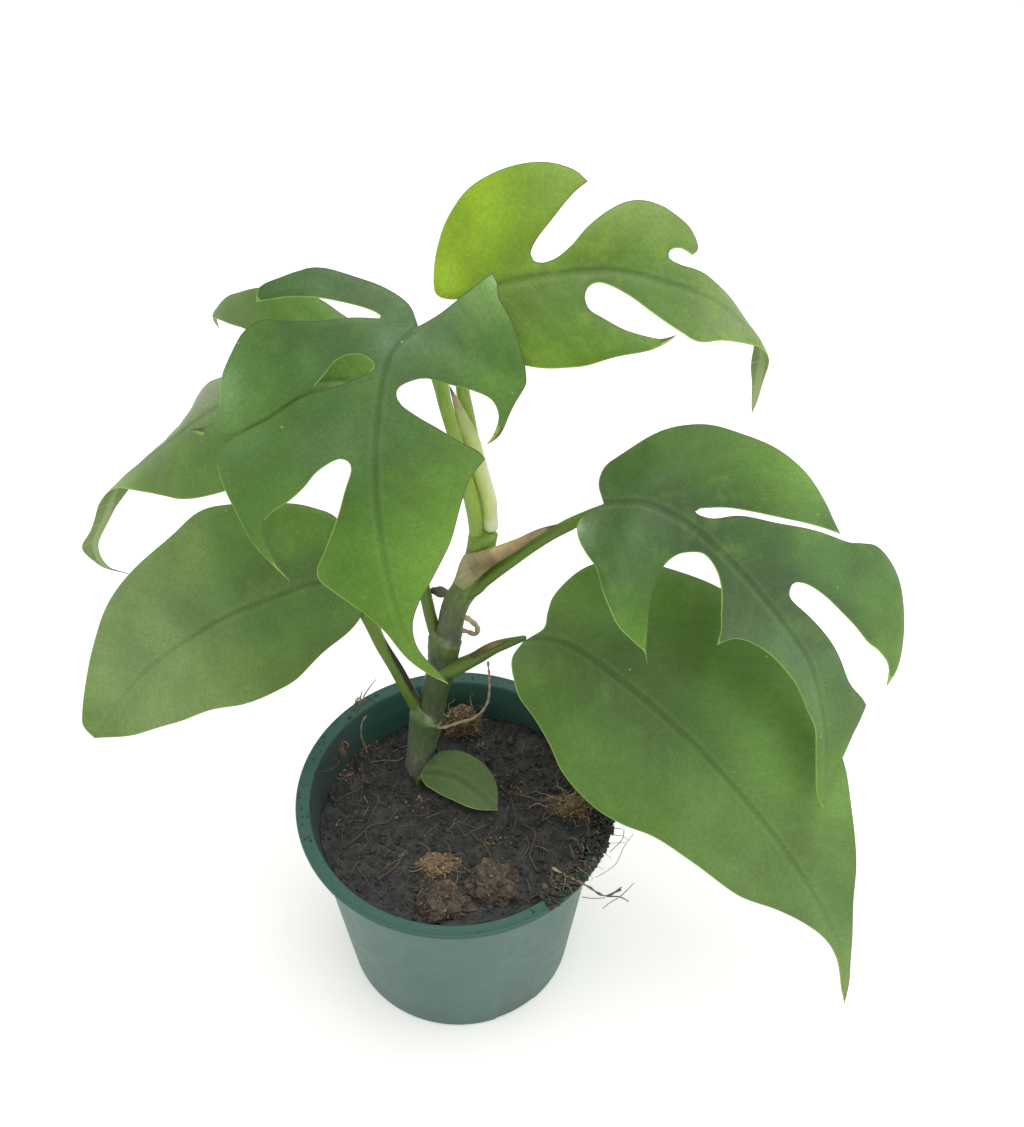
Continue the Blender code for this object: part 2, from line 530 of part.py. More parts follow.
def leaf_object(name, leaf, material, group, thickness=LEAF_THICKNESS, step=LEAF_STEP,
                grid=LEAF_GRID):
    blade = Blade(leaf)
    loop = smooth_outline(leaf["outline"], step)
    count = len(loop)
    flat = [Vector(p) for p in loop + inside_points(loop, grid)]
    edges = [(i, (i + 1) % count) for i in range(count)]
    verts, _, faces, _, _, _ = delaunay_2d_cdt(flat, edges, [], 1, 0.0001)
    placed = blade.place([v.x for v in verts], [v.y for v in verts]) * MM
    data = bpy.data.meshes.new(name)
    data.from_pydata([tuple(p) for p in placed], [], faces)
    data.shade_smooth()
    item = add_object(name, data, material, group)
    skin = item.modifiers.new("thickness", "SOLIDIFY")
    skin.thickness = thickness * MM
    skin.offset = 0
    return item, blade


def with_end(route, blade):
    """The petiole's route, carried on to just under the start of the blade's midrib."""
    ribs, _, _, ups = blade.frame(np.array([JOINT_ALONG]))
    rib, up = ribs[0], ups[0]
    approach = rib - np.array(route[-1][:3])
    cosine = approach @ up / np.linalg.norm(approach)
    radius = route[-1][3] * JOINT_TAPER
    reach = radius * math.sqrt(1 - cosine ** 2)
    tip = rib - up * (reach + LEAF_THICKNESS / 2 + JOINT_GAP)
    return route + [(*tip, radius)]


# ---------------------------------------------------------------- pot and potting mix
def turned_object(name, outline, segments, material, group):
    """Solid turned from a radius, height profile that runs down its outer side."""
    work = bmesh.new()
    verts = [work.verts.new((radius * MM, 0, height * MM)) for radius, height in outline]
    for here, after in zip(verts, verts[1:]):
        work.edges.new((here, after))
    data = bpy.data.meshes.new(name)
    work.to_mesh(data)
    work.free()
    item = add_object(name, data, material, group)
    turn = item.modifiers.new("turn", "SCREW")
    turn.steps = segments
    turn.render_steps = segments
    turn.use_merge_vertices = True
    turn.merge_threshold = 0.00001
    turn.use_smooth_shade = True
    return item


def body_radius(z):
    """Outer radius of the pot's tapering body."""
    return BASE_RADIUS + (BODY_TOP_RADIUS - BASE_RADIUS) * z / SKIRT_END


def inner_radius(z):
    """Radius of the room inside the pot at a height."""
    return min(body_radius(z) - WALL, RIM_RADIUS - FLANGE_WIDTH)


def make_pot(group, cutters):
    flange_edge = RIM_RADIUS - FLANGE_WIDTH
    outline = [
        (flange_edge, POT_HEIGHT - 1), (flange_edge + 1, POT_HEIGHT),
        (RIM_RADIUS - 0.5, POT_HEIGHT), (RIM_RADIUS, POT_HEIGHT - 0.5),
        (RIM_RADIUS, POT_HEIGHT - LIP_DEPTH + 0.4), (RIM_RADIUS - 0.4, POT_HEIGHT - LIP_DEPTH),
        (SKIRT_RADIUS + 0.3, POT_HEIGHT - LIP_DEPTH - 0.5), (SKIRT_RADIUS - 0.3, SKIRT_END + 0.6),
        (BODY_TOP_RADIUS, SKIRT_END), (body_radius(1), 1), (body_radius(0) - 1, 0), (0, 0),
        (0, FLOOR), (body_radius(FLOOR) - WALL, FLOOR),
        (body_radius(SKIRT_END) - WALL, SKIRT_END), (flange_edge, POT_HEIGHT - 1),
    ]
    pot = turned_object("nursery_pot", outline, POT_SEGMENTS, "pot_plastic", group)
    for number in range(DRAIN_SLOTS):
        angle = math.radians(DRAIN_FIRST_ANGLE + number * 360 / DRAIN_SLOTS)
        place = (BASE_RADIUS - DRAIN_DEPTH / 2 + DRAIN_OVERCUT) * MM
        bpy.ops.mesh.primitive_cube_add(
            size=1, rotation=(0, 0, angle),
            location=(place * math.cos(angle), place * math.sin(angle),
                      (DRAIN_RISE - DRAIN_OVERCUT) / 2 * MM),
            scale=(DRAIN_DEPTH * MM, DRAIN_WIDTH * MM, (DRAIN_RISE + DRAIN_OVERCUT) * MM))
        slot = as_cutter(bpy.context.object)
        slot.name = "drain_cutter_%d" % (number + 1)
        for old in list(slot.users_collection):
            old.objects.unlink(slot)
        cutters.objects.link(slot)
        cut(pot, slot)
    return pot


def soil_height(x, y):
    heap = math.exp(-((x - HEAP_CENTRE[0]) ** 2 + (y - HEAP_CENTRE[1]) ** 2) / HEAP_SPREAD ** 2)
    bumps = 1.3 * noise.noise((x * 0.09, y * 0.09, 4.2)) + 0.7 * noise.noise((x * 0.2, y * 0.2, 8.1))
    return SOIL_LEVEL + SOIL_SLOPE_X * x + SOIL_SLOPE_Y * y + HEAP_RISE * heap + 2 * bumps


def make_soil(group):
    """Turned plug of potting mix whose top is then raised and lowered point by point."""
    top = 60.0
    floor = FLOOR + 0.5
    rings = [0, 9, 18, 27, 36, 43, inner_radius(POT_HEIGHT)]
    outline = [(radius, top) for radius in rings]
    outline += [(inner_radius(z) - SOIL_CLEARANCE, z) for z in (40, 20, floor)]
    outline += [(0, floor)]
    plug = turned_object("potting_mix", outline, SOIL_SEGMENTS, "peat", group)
    data = evaluated_mesh(plug)
    plug.modifiers.clear()
    for vert in data.vertices:
        if vert.co.z > (top - 1) * MM:
            height = soil_height(vert.co.x / MM, vert.co.y / MM)
            outwards = math.hypot(vert.co.x, vert.co.y) / MM
            if outwards > rings[-2] + 0.1:
                pull = (inner_radius(height) - SOIL_CLEARANCE) / outwards
                vert.co.x *= pull
                vert.co.y *= pull
            vert.co.z = height * MM
    data.name = "potting_mix"
    plug.data = data
    return plug


def lump_mesh(name, centre, radii, seed, extra=0.0):
    """Irregular clod: an ico sphere pushed in and out by noise."""
    work = bmesh.new()
    bmesh.ops.create_icosphere(work, subdivisions=2, radius=1)
    for vert in work.verts:
        spread = 1 + LUMP_ROUGHNESS * noise.noise(vert.co * 1.7 + Vector((seed, seed * 1.3, 0)))
        vert.co = Vector([(centre[k] + vert.co[k] * (radii[k] * spread + extra)) * MM
                          for k in range(3)])
    return mesh_from_bmesh(name, work)


def add_lump(name, lump, group, cutters, soil):
    """A clod half sunk in the potting mix, which is cut back around it."""
    (x, y), radii, seed, material = lump
    place = (x, y, soil_height(x, y) + radii[2] * LUMP_LIFT)
    add_object(name, lump_mesh(name, place, radii, seed), material, group)
    hollow = lump_mesh(name + "_cutter", place, radii, seed, SOIL_CLEARANCE)
    cut(soil, as_cutter(add_object(name + "_cutter", hollow, None, cutters)))


def spilled_peat(group):
    """Crumbs pushed over the flange on the heaped side."""
    points = []
    ring = RIM_RADIUS - FLANGE_WIDTH / 2
    for step in range(SPILL_POINTS):
        angle = math.radians(SPILL_START + SPILL_STEP * step)
        radius = SPILL_RADIUS * (1 + 0.22 * math.sin(step * 2.1))
        points.append((ring * math.cos(angle), ring * math.sin(angle),
                       POT_HEIGHT + SOIL_CLEARANCE + radius, radius))
    return tube_mesh("spilled_peat", points, "peat", group, 8, 1)


def seated_root(name, route, radius, surface, group):
    """Root that lies on the potting mix along x, y points, just clear of it."""
    path = smooth_path(route, 4)
    points = []
    for number, (x, y) in enumerate(path):
        low = Vector((x * MM, y * MM, 0.2))
        around = [Vector((math.cos(a), math.sin(a), 0)) * radius * MM for a in (0, 1.6, 3.1, 4.7)]
        hits = [surface.ray_cast(low + shift, Vector((0, 0, -1)))[0] for shift in around]
        height = max(hit.z for hit in hits if hit) / MM
        taper = 1 - 0.5 * number / (len(path) - 1)
        points.append((x, y, height + radius + 2 * GAP, radius * taper))
    return tube_curve(name, points, "root", group, sides=6, spans=1)


def main():
    clear_scene()
    parts = new_collection("potted_mini_monstera")
    cutters = new_collection("cutters")

    make_pot(parts, cutters)
    soil = make_soil(parts)
    surface = BVHTree.FromPolygons([v.co.copy() for v in soil.data.vertices],
                                   [tuple(p.vertices) for p in soil.data.polygons])

    tube_mesh("main_stem", STEM, "stem_green", parts, sides=12, spans=2)
    around_stem = as_cutter(tube_mesh("stem_cutter", grown(STEM, GAP + 0.1), None, cutters, 12, 2))
    cut(soil, around_stem)

    for number, leaf in LEAVES.items():
        finish_name = "young_leaf" if number == 6 else "leaf_green"
        _, blade = leaf_object("leaf_%d" % number, leaf, finish_name, parts)
        route = with_end(PETIOLES[number], blade)
        petiole = tube_mesh("petiole_%d" % number, route, "petiole_green", parts, 10, 3)
        if number <= 4:
            cut(petiole, around_stem)
    small, small_blade = leaf_object("small_leaf", SMALL_LEAF, "leaf_green", parts)
    small_route = with_end(SMALL_PETIOLE, small_blade)
    tube_mesh("small_petiole", small_route, "petiole_green", parts, 8, 2)
    small_cutter = tube_mesh("small_petiole_cutter", grown(small_route, GAP), None, cutters, 8, 2)
    cut(soil, as_cutter(small_cutter))

    for name, lump in LUMPS.items():
        add_lump(name, lump, parts, cutters, soil)
    spilled_peat(parts)

    for name, sheath in SHEATHS.items():
        shape = dict(sheath, fold_left=(0, 0), fold_right=(0, 0),
                     curl_left=sheath["curl"], curl_right=sheath["curl"])
        leaf_object(name, shape, sheath["finish"], parts, SHEATH_THICKNESS, SHEATH_STEP,
                    SHEATH_GRID)
    for name, route in STEM_ROOTS.items():
        root = tube_mesh(name, route, "root", parts, 6, 2)
        cut(root, around_stem)
    for name, route in STRAY_ROOTS.items():
        tube_curve(name, route, "root", parts, 6, 3)
    for name, route in SURFACE_ROOTS.items():
        seated_root(name, route, 0.6, surface, parts)


main()
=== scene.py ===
"""Looks of the potted mini monstera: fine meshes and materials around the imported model.

Tables are in millimetres and are scaled by MM where a mesh is made; colours are sRGB 0-255.
"""
import math

import bpy
import numpy as np
from mathutils import Matrix, Vector, noise
from mathutils.geometry import delaunay_2d_cdt


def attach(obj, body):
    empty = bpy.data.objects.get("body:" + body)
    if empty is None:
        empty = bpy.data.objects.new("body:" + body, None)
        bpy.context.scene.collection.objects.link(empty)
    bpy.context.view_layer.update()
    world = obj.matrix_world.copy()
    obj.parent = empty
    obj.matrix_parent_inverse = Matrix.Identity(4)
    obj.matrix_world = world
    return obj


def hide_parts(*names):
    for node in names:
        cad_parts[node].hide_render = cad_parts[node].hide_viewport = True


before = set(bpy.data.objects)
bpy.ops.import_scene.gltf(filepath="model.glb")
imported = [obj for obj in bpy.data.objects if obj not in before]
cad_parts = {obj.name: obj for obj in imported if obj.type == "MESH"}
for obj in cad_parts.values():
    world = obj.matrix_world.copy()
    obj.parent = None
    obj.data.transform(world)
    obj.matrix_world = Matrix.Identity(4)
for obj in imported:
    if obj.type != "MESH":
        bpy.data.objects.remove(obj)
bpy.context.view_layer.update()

MM = 0.001
RNG = np.random.default_rng(11)
FINE = 60  # steps between two points of an outline
FINER_VEINS = 5  # fine veins for each side vein
FAR_WAY = (0.6, 0.7, 0.35)  # margins that face this way get the far edge's dark colour, a painted shade
SHEATH_STEP = 0.8
SHEATH_HALF = 0.2  # half a sheath's thickness

# ---- pot and potting mix, as in the part's source ----
RIM_RADIUS = 54.0
POT_HEIGHT = 86.0
BASE_RADIUS = 39.6
WALL = 1.4
FLOOR = 1.6
FLANGE_WIDTH = 5.0
LIP_DEPTH = 1.6
SKIRT_RADIUS = 49.8
SKIRT_END = 77.0
BODY_TOP_RADIUS = 48.6
POT_SIDES = 192
FLANGE_SHADE_FADE = (84.6, 85.6)  # heights between which the flange's darker colour, a painted shade from the leaves above, sets in
STAIN_FADE = (0.036, 0.026)  # metres towards the back, where the stain on the wall sets in
DRAIN_SLOTS = 3
DRAIN_FIRST_ANGLE = -59.5
DRAIN_WIDTH = 15.0
DRAIN_DEPTH = 3.0  # how far in from the foot's edge a slot reaches
DRAIN_RISE = 2.0
SOIL_LEVEL = 75.8
SOIL_SLOPE_X = 0.07
SOIL_SLOPE_Y = -0.13
HEAP_CENTRE = (44.0, -12.0)
HEAP_RISE = 5.0
HEAP_SPREAD = 14.0

# Stem axis from its buried end to the top node: x, y, z, radius.
STEM = [
    (-12.8, 20.5, 50, 3.6), (-13, 21.2, 60, 5.0), (-13.1, 22, 69.6, 5.5), (-12.8, 23, 80, 4.9),
    (-11.5, 23.6, 89, 5.2), (-10.3, 24, 96.3, 5.7), (-9.7, 24.3, 101, 5.8), (-7.9, 24.8, 103.6, 4.6),
    (-7.1, 25.4, 109.1, 4.4), (-6.1, 26, 114.9, 4.6), (-4.4, 27.2, 121.5, 4.8),
    (-3.8, 28.2, 127.7, 5.1), (-2.9, 29.4, 135.2, 5.4), (-1.6, 29.9, 137.8, 4.4),
    (-0.2, 31, 145.1, 4.2), (1.6, 32.2, 151.2, 4.3), (3.7, 32.9, 155.3, 4.3), (6, 34, 160.9, 4.3),
    (8, 35, 167.5, 4.3), (9.2, 36, 172.6, 4.4), (10.1, 36.8, 178.4, 4.5),
]

# Petioles from the stem outwards: x, y, z, radius. The last stretch to the blade is added.
PETIOLES = {
    1: [(-10.5, 25, 96, 3.2), (-12, 25, 98.4, 2.9), (-13.2, 25.4, 103, 2.6),
        (-16, 26.3, 110.7, 2.5), (-19.7, 28.5, 119.9, 2.35), (-22.9, 31, 125.5, 2.25),
        (-25.4, 33.8, 129.2, 2.2), (-29.2, 39.5, 135, 2.2)],
    2: [(-3.5, 30, 129.5, 2.6), (-5.3, 30, 132.3, 2.4), (-6.1, 30.6, 135.8, 2.15),
        (-7.7, 32.6, 143.1, 2.1), (-8.9, 34.8, 149.5, 2.1), (-13, 41, 172, 2.05),
        (-17, 47, 203, 2.0)],
    3: [(-5.5, 25.5, 122.5, 2.0), (-3.4, 23.9, 124.2, 2.6), (-0.7, 23.8, 125.8, 2.75),
        (2.6, 24.4, 127.2, 2.6), (7.3, 25, 130.1, 2.25), (11.6, 25, 134.1, 2.0),
        (15.2, 24.8, 136.9, 1.9)],
    4: [(3, 31.6, 153.5, 2.5), (5.6, 31, 156.6, 2.45), (8.2, 31.2, 159, 2.35),
        (10.8, 31.4, 162.2, 2.15), (18.5, 31.6, 170.6, 2.1), (26.8, 31.8, 179, 1.95),
        (35.5, 31.9, 186.5, 1.75)],
    5: [(7.8, 36, 179.4, 2.1), (7.4, 36.2, 187.3, 2.1), (6.4, 36.7, 194.4, 2.15),
        (4.9, 37.3, 202.2, 2.08), (3.3, 37.7, 212.2, 1.93), (1.8, 38.2, 220.2, 1.86),
        (0.2, 38.8, 227.9, 1.86), (-0.9, 39.4, 233.4, 1.9), (-1.9, 40.2, 239.5, 2.0),
        (-5, 39.5, 254, 2.0)],
    6: [(12.3, 38.3, 179.6, 1.6), (12.1, 38.7, 184.2, 1.75), (11.7, 39.3, 191.3, 1.95),
        (9.9, 40.4, 199.6, 2.0), (8, 41.8, 208.3, 2.0), (6.7, 43, 216.9, 2.1),
        (5.5, 44.3, 224.8, 2.15), (4.4, 45.5, 231.7, 2.15), (4.1, 46.8, 243, 2.05),
        (4.6, 47.8, 254, 2.0)],
}

# Each leaf: its midrib in space, a direction towards its right-hand side, and per-side
# profiles along the midrib (evenly spaced values): fold is the angle by which a half rises
# from the midrib, curl the degrees a millimetre by which it droops outwards, roll the twist.
# chord is the share of the length over which the midrib's direction is averaged. The outline
# is (along, across) from the petiole round the right side to the tip and back along the
# left; a third value of 1 marks a sharp corner.
LEAVES = {
    1: {
        "midrib": [
            (-35, 47, 143), (-48, 46, 143), (-61, 44, 138), (-72, 44, 132), (-84, 43, 124),
            (-101, 40, 111), (-114, 36, 98), (-125, 28, 84)],
        "side": (-0.2, 0.75, 0.6),
        "outline": [
            (1, 0, 1), (-2, 6), (-3, 13), (1, 22), (7.3, 25.5), (17, 29), (31, 35), (42, 37), (54, 34.2),
            (70, 31.5), (81, 28), (91, 22), (101, 16), (111.6, 10), (115.8, 6.4), (116.6, 0.4, 1),
            (103.4, -12.5), (86, -21), (67, -25.2), (52, -29.4), (38, -30), (22, -27), (8.6, -20.7),
            (-0.3, -14.4), (-4, -9), (-3, -4)],
    },
    2: {
        "midrib": [
            (-19, 49, 230), (-32, 45, 236), (-46, 43, 236), (-62, 44, 230), (-73, 44, 223),
            (-85, 43, 213), (-96, 45, 201), (-104, 45, 192), (-109, 43, 180), (-114, 41, 168),
            (-112, 41, 158), (-107, 45, 150)],
        "side": (0, 0.75, 0.6),
        "chord": 0.1,
        "roll": (0, 0, 0, 0, 0, 0, 0, 0, -40, -85, -95, -95, -95),
        "fold_right": (8, 8, 8, 2, -4, -34, -50, -50, -30, 0, 0, 0),
        "fold_left": (8, 8, 8, 8, 4, 0, 0, 0, 0, 0),
        "curl_right": (0.5, 0.5, 0.5, 0.8, 1.2, 1.5, 1.5, 1, 0, 0, 0),
        "outline": [
            (0, 0, 1), (2, 8), (6, 15), (13.4, 19.5), (20, 25), (28, 29), (36, 32), (43, 34.5),
            (49.6, 38), (58, 39.6, 1), (51, 30.2), (45.9, 24.3), (40, 19.5), (37, 15), (35, 11.5),
            (37, 8.5), (43, 7.2), (50, 8.1), (58, 9.7), (66, 11.4), (74, 11.5), (82, 10.5), (90, 8.5),
            (98, 6), (106, 4), (114, 1.7), (124, 1), (134, 0.7), (144, 0.4), (151, 0, 1), (144, -1.5),
            (137, -3), (131, -4.5), (124, -3), (114, -4), (106, -4.4), (100, -5.6), (95.5, -8),
            (90, -11), (83.6, -14.8), (78, -18.4), (70, -21.9), (61, -24.5), (52, -25), (44, -24),
            (34, -21), (25, -17.5), (12, -10.5), (4, -5)],
    },
    3: {
        "midrib": [
            (21, 23, 143), (35, 24, 140), (48, 20, 133), (68, 9, 121), (86, -3, 108), (104, -17, 92),
            (119, -32, 76), (128, -44, 61), (130, -55, 45)],
        "side": (-0.6, -0.62, -0.3),
        "chord": 0.15,
        "fold_left": (10, 10, 10),
        "fold_right": (10, 10, 10),
        "curl_left": (0.5, 0.6, 0.5),
        "curl_right": (0.5, 0.6, 0.5),
        "outline": [
            (2, 1, 1), (-0.5, 7), (2, 14), (8, 22), (21, 30), (40, 36), (57, 38), (70, 36), (83, 31),
            (100, 27), (118.5, 22.2), (131, 14.4), (140, 9), (150, 4), (158, 1.8), (168, 0.6),
            (176.5, -0.7, 1), (170, -2.4), (159, -4), (145, -10), (133.3, -18.5), (120, -27),
            (108.3, -34.7), (98, -38), (86, -42), (72, -46), (58, -48), (45, -46), (33, -40),
            (23.2, -33.7), (13.8, -26), (7.6, -15.7), (7, -9), (7.4, -3.3)],
    },
    4: {
        "midrib": [
            (47, 32, 197), (60, 29, 200), (76, 25, 192), (91, 20, 177), (105, 16, 158), (114, 12, 144),
            (118, 6, 132), (121, -1, 118), (121, -14, 102)],
        "side": (-0.55, -0.7, -0.35),
        "chord": 0.2,
        "outline": [
            (0, 0, 1), (-4.4, 4.8), (-6, 9.5), (-3.6, 14.5), (3, 21), (8, 28.5), (13, 34), (20, 38.5),
            (30, 40), (39, 40), (44, 42, 1), (36, 37), (29, 30), (26.5, 23), (26.4, 16), (29, 10.5),
            (33.2, 6.9), (38, 4.5), (44, 5.5), (49, 8.5), (55, 14.5), (59, 18), (61.5, 22, 1),
            (63, 19.5), (66, 16), (72, 13), (81, 10.5), (93, 9), (109, 6), (118, 4), (128, 4.5),
            (141, 3), (147, 0, 1), (139, -2), (131.4, -6.8), (125.5, -10.7), (121.6, -14.5),
            (118, -18, 1), (115.3, -16.8), (109.2, -13), (101, -11.4), (92, -10), (82, -8.5), (73, -7),
            (70, -9), (70, -11.5), (74, -14.5), (81, -17), (91, -19.5), (101, -23.5), (106, -28),
            (111, -31), (115.7, -28.6, 1), (113, -35), (108, -40.5), (102, -44.5), (95, -47),
            (88, -46.5), (83, -44.5), (79, -40), (74.5, -35), (62.4, -27), (51.6, -19.4), (41.3, -12.7),
            (35, -6.5), (30.8, -4.5), (28.5, -4.5), (29.4, -6), (31.6, -7.7), (37.5, -12.2), (49.4, -20),
            (62.2, -28.6), (72, -35, 1), (67.5, -36), (61, -37.7), (51, -39), (41, -37.5), (31.3, -34.1),
            (22, -31), (12, -24.5), (4, -18), (-1.7, -12.4), (-3, -6)],
    },
    5: {
        "midrib": [
            (-7, 35, 266), (-15, 29, 260), (-19, 21, 243), (-20, 12, 224), (-18, 2, 205), (-14, -8, 190),
            (-9, -15, 182), (0, -21, 176)],
        "side": (-1, 0, -0.05),
        "chord": 0.25,
        "fold_left": (20, 14, 10, 8, 8, 8),
        "outline": [
            (0, 0, 1), (-4.4, 5), (-5.6, 13), (-4.6, 22), (-2.9, 31), (0, 36.5), (4, 39.5), (8, 41.8),
            (11.5, 40.5, 1), (9.5, 37), (6.5, 32), (4, 26), (2, 18), (1.4, 12), (2.4, 9.9), (5, 14.8),
            (9.5, 22), (12.5, 30), (14.5, 37), (18.5, 41.5), (24, 44), (30, 46), (34, 45.5), (38, 48),
            (40, 55, 1), (40.6, 48), (38.1, 38.9), (34.7, 31.8), (31, 26), (26.4, 19.7), (22, 16.5),
            (17.5, 14), (14.5, 10), (14, 6), (15.5, 3.5), (18, 4.5), (21, 8), (24.5, 13), (27.4, 18.9),
            (31.7, 25.4), (35.4, 31.2), (38.9, 38.5), (43, 45.2), (46.5, 46.5), (52, 45), (60, 41),
            (65, 38.5), (70, 34), (75, 29, 1), (69, 32.5), (64, 34.5), (60.5, 34), (57.5, 30.5),
            (55, 25.7), (51.4, 21), (47.3, 17.3), (44.6, 13.7), (43, 10.5), (43.5, 8), (46, 7), (52, 9),
            (60, 12), (68, 16.5), (73, 20), (76, 20), (80, 16), (87, 9.5), (95, 5), (104, 3), (112, 1.5),
            (117, 0, 1), (110, -1), (102, -1.4), (95.5, -3.2), (90, -7), (83, -13), (71, -20),
            (57, -24.5), (49, -27), (43, -30), (40, -31.5, 1), (36, -29.5), (32.5, -25), (29, -19),
            (26.5, -11.5), (24.5, -6.5), (22, -4.5), (19.3, -5), (16.3, -7.7), (13.5, -12), (12.5, -19),
            (11.4, -25), (11.8, -31), (16.5, -34.2), (24, -33.9), (31, -31.8, 1), (25, -35.4), (17, -37),
            (8, -37.1), (-3, -33), (-10, -28), (-15, -23), (-18.6, -17.6), (-21.6, -15.6),
            (-23.4, -12.8, 1), (-14, -8), (-6, -4)],
    },
    6: {
        "midrib": [
            (7, 45, 268), (16, 45, 273), (33, 46, 276), (49, 48, 275), (65, 48, 270), (77, 48, 264),
            (86, 46, 257), (92, 47, 248), (92, 46, 236), (91, 44, 222)],
        "side": (0.1, -0.7, -0.6),
        "chord": 0.12,
        "roll": (0, 0, 0, 0, 0, 0, 0, 20, 75, 85),
        "fold_left": (8, 8, 8, 8, 6, 0, -20, -20, 0, 0),
        "fold_right": (8, 8, 8, 8, 8, 8, 0, 0, 0, 0),
        "curl_left": (0.5, 0.5, 0.5, 0.5, 0.8, 1.5, 1.5, 0, 0, 0),
        "outline": [
            (0, 0, 1), (-1, 7), (1, 14), (6, 21), (15, 25.3), (26, 26.7), (37, 26.2), (54, 21.7),
            (62, 17.4), (65.7, 13.6, 1), (62.6, 15.3), (58, 16.6), (47, 16.4), (38.4, 13.2),
            (34.5, 10.5), (34, 6.2), (38, 3.5), (47, 6.3), (56, 9.7), (66, 12.5), (74, 13.2), (82, 8.2),
            (92, 4.5), (103, 2.4), (110, 1.3), (117, 0.6), (121.5, -0.3, 1), (117, -1.1), (110, -2),
            (103, -3.3), (95, -3.5), (89, -4.2), (81, -4.7), (74, -5.3), (67, -6.4), (61, -6.2),
            (57.5, -7), (57.5, -9.5), (60.5, -11), (63.8, -10.2, 1), (65, -13.2), (61.9, -18.8),
            (56, -21), (50, -21.5), (45, -20), (40, -16.5), (35, -12), (31, -7.5), (27, -4.5),
            (23, -3.5), (20.5, -4.5), (20, -6.5), (22, -10), (27, -15.5), (32, -21.5), (35.7, -25, 1),
            (32.7, -28.7), (27, -31.5), (20, -32), (13, -30.5), (6.8, -27.9), (0.6, -23.4), (-4, -17),
            (-7.7, -9.8), (-9, -4), (-5, -1)],
    },
}
SMALL_LEAF = {
    "midrib": [(-12.4, 13.8, 80.6), (-6, 12.4, 83), (1, 9.4, 83.2), (8, 4, 82.3), (14, -1.2, 80.2)],
    "side": (-0.3, -0.7, -0.3),
    "outline": [
        (0, 0, 1), (1, 2.5), (4, 5.5), (11, 7.5), (19, 7), (26, 5), (32, 0, 1), (27, -5.5), (21, -8.5),
        (14, -9.3), (9, -8.5), (5, -6.5), (2, -3)],
}
SMALL_PETIOLE = [(-13, 14.8, 60, 0.9), (-13.2, 14.4, 70, 0.9), (-13.4, 13.6, 77, 0.9)]

# Sheaths and their dry remains, shaped as narrow blades that wrap what they grew around.
SHEATHS = {
    "green_sheath": {
        "midrib": [
            (12.3, 35.95, 179.6), (12.1, 36.25, 185), (11.7, 36.65, 191.8), (9.9, 37.6, 199.8),
            (7.9, 38.7, 208.6), (6.3, 39.5, 216.9), (4.5, 40.2, 224.6), (2.8, 40.5, 231.2),
            (0.8, 40.9, 237.7)],
        "side": (1, 0, 0),
        "curl": (24, 22.5, 21.5, 20, 16, 12, 10, 8, 8), "finish": "pale_sheath",
        "outline": [
            (0, -3.1, 1), (0, 3.1, 1), (6, 3.3), (12, 3.5), (20, 3.6), (30, 3.4), (38, 3), (46, 2),
            (53, 1.05), (60, 0, 1), (53, -1.05), (46, -2), (38, -2.9), (30, -3.3), (20, -3.6),
            (12, -3.5), (6, -3.3)],
    },
    "dry_sheath": {
        "midrib": [
            (3.9, 27.6, 160.6), (8.6, 27.7, 167.4), (15, 28.3, 175.2), (24, 30.6, 182.4),
            (33.4, 31.2, 188.8)],
        "side": (0.86, 0.04, -0.48),
        "roll": (0, 10, 35, 50, 60),
        "curl": (9, 7.8, 6.4, 5, 4.5, 5, 6, 8, 8), "finish": "dry_sheath",
        "outline": [
            (0.5, -4.8, 1), (0.6, -0.6, 1), (5, 0), (9, 0), (13.5, 0.3), (19, 0.6), (26, 1.3),
            (33.3, 0.8), (38, 0.4), (42, 0.2, 1), (36, -1), (28, -1.8), (24, -2.8), (20, -4), (18, -4.8),
            (15, -6), (12, -7.6), (9.6, -8.7, 1), (6, -7.2), (3, -5.7)],
    },
    "dry_strip_3": {
        "midrib": [
            (5.7, 23.8, 132.3), (9.9, 23.9, 136.1), (13.5, 23.7, 138.8), (17.2, 23.3, 140.9)],
        "side": (0.28, -0.91, -0.3),
        "curl": (14, 14), "finish": "dry_sheath",
        "outline": [
            (0, -0.6, 1), (0, 0.6, 1), (5, 0.9), (10, 0.8), (14.8, 0, 1), (10, -0.8), (5, -0.9)],
    },
    "dry_strip_1": {
        "midrib": [
            (-12.1, 24, 108.1), (-13.6, 24.5, 111.8), (-17.4, 26.8, 121), (-20.4, 29.3, 126.4),
            (-23, 32.3, 130.9)],
        "side": (0.62, 0.78, 0),
        "curl": (10, 10), "finish": "dry_sheath",
        "outline": [
            (0, -0.5, 1), (0, 0.5, 1), (8, 0.8), (17, 0.7), (27, 0, 1), (17, -0.7), (8, -0.8)],
    },
}

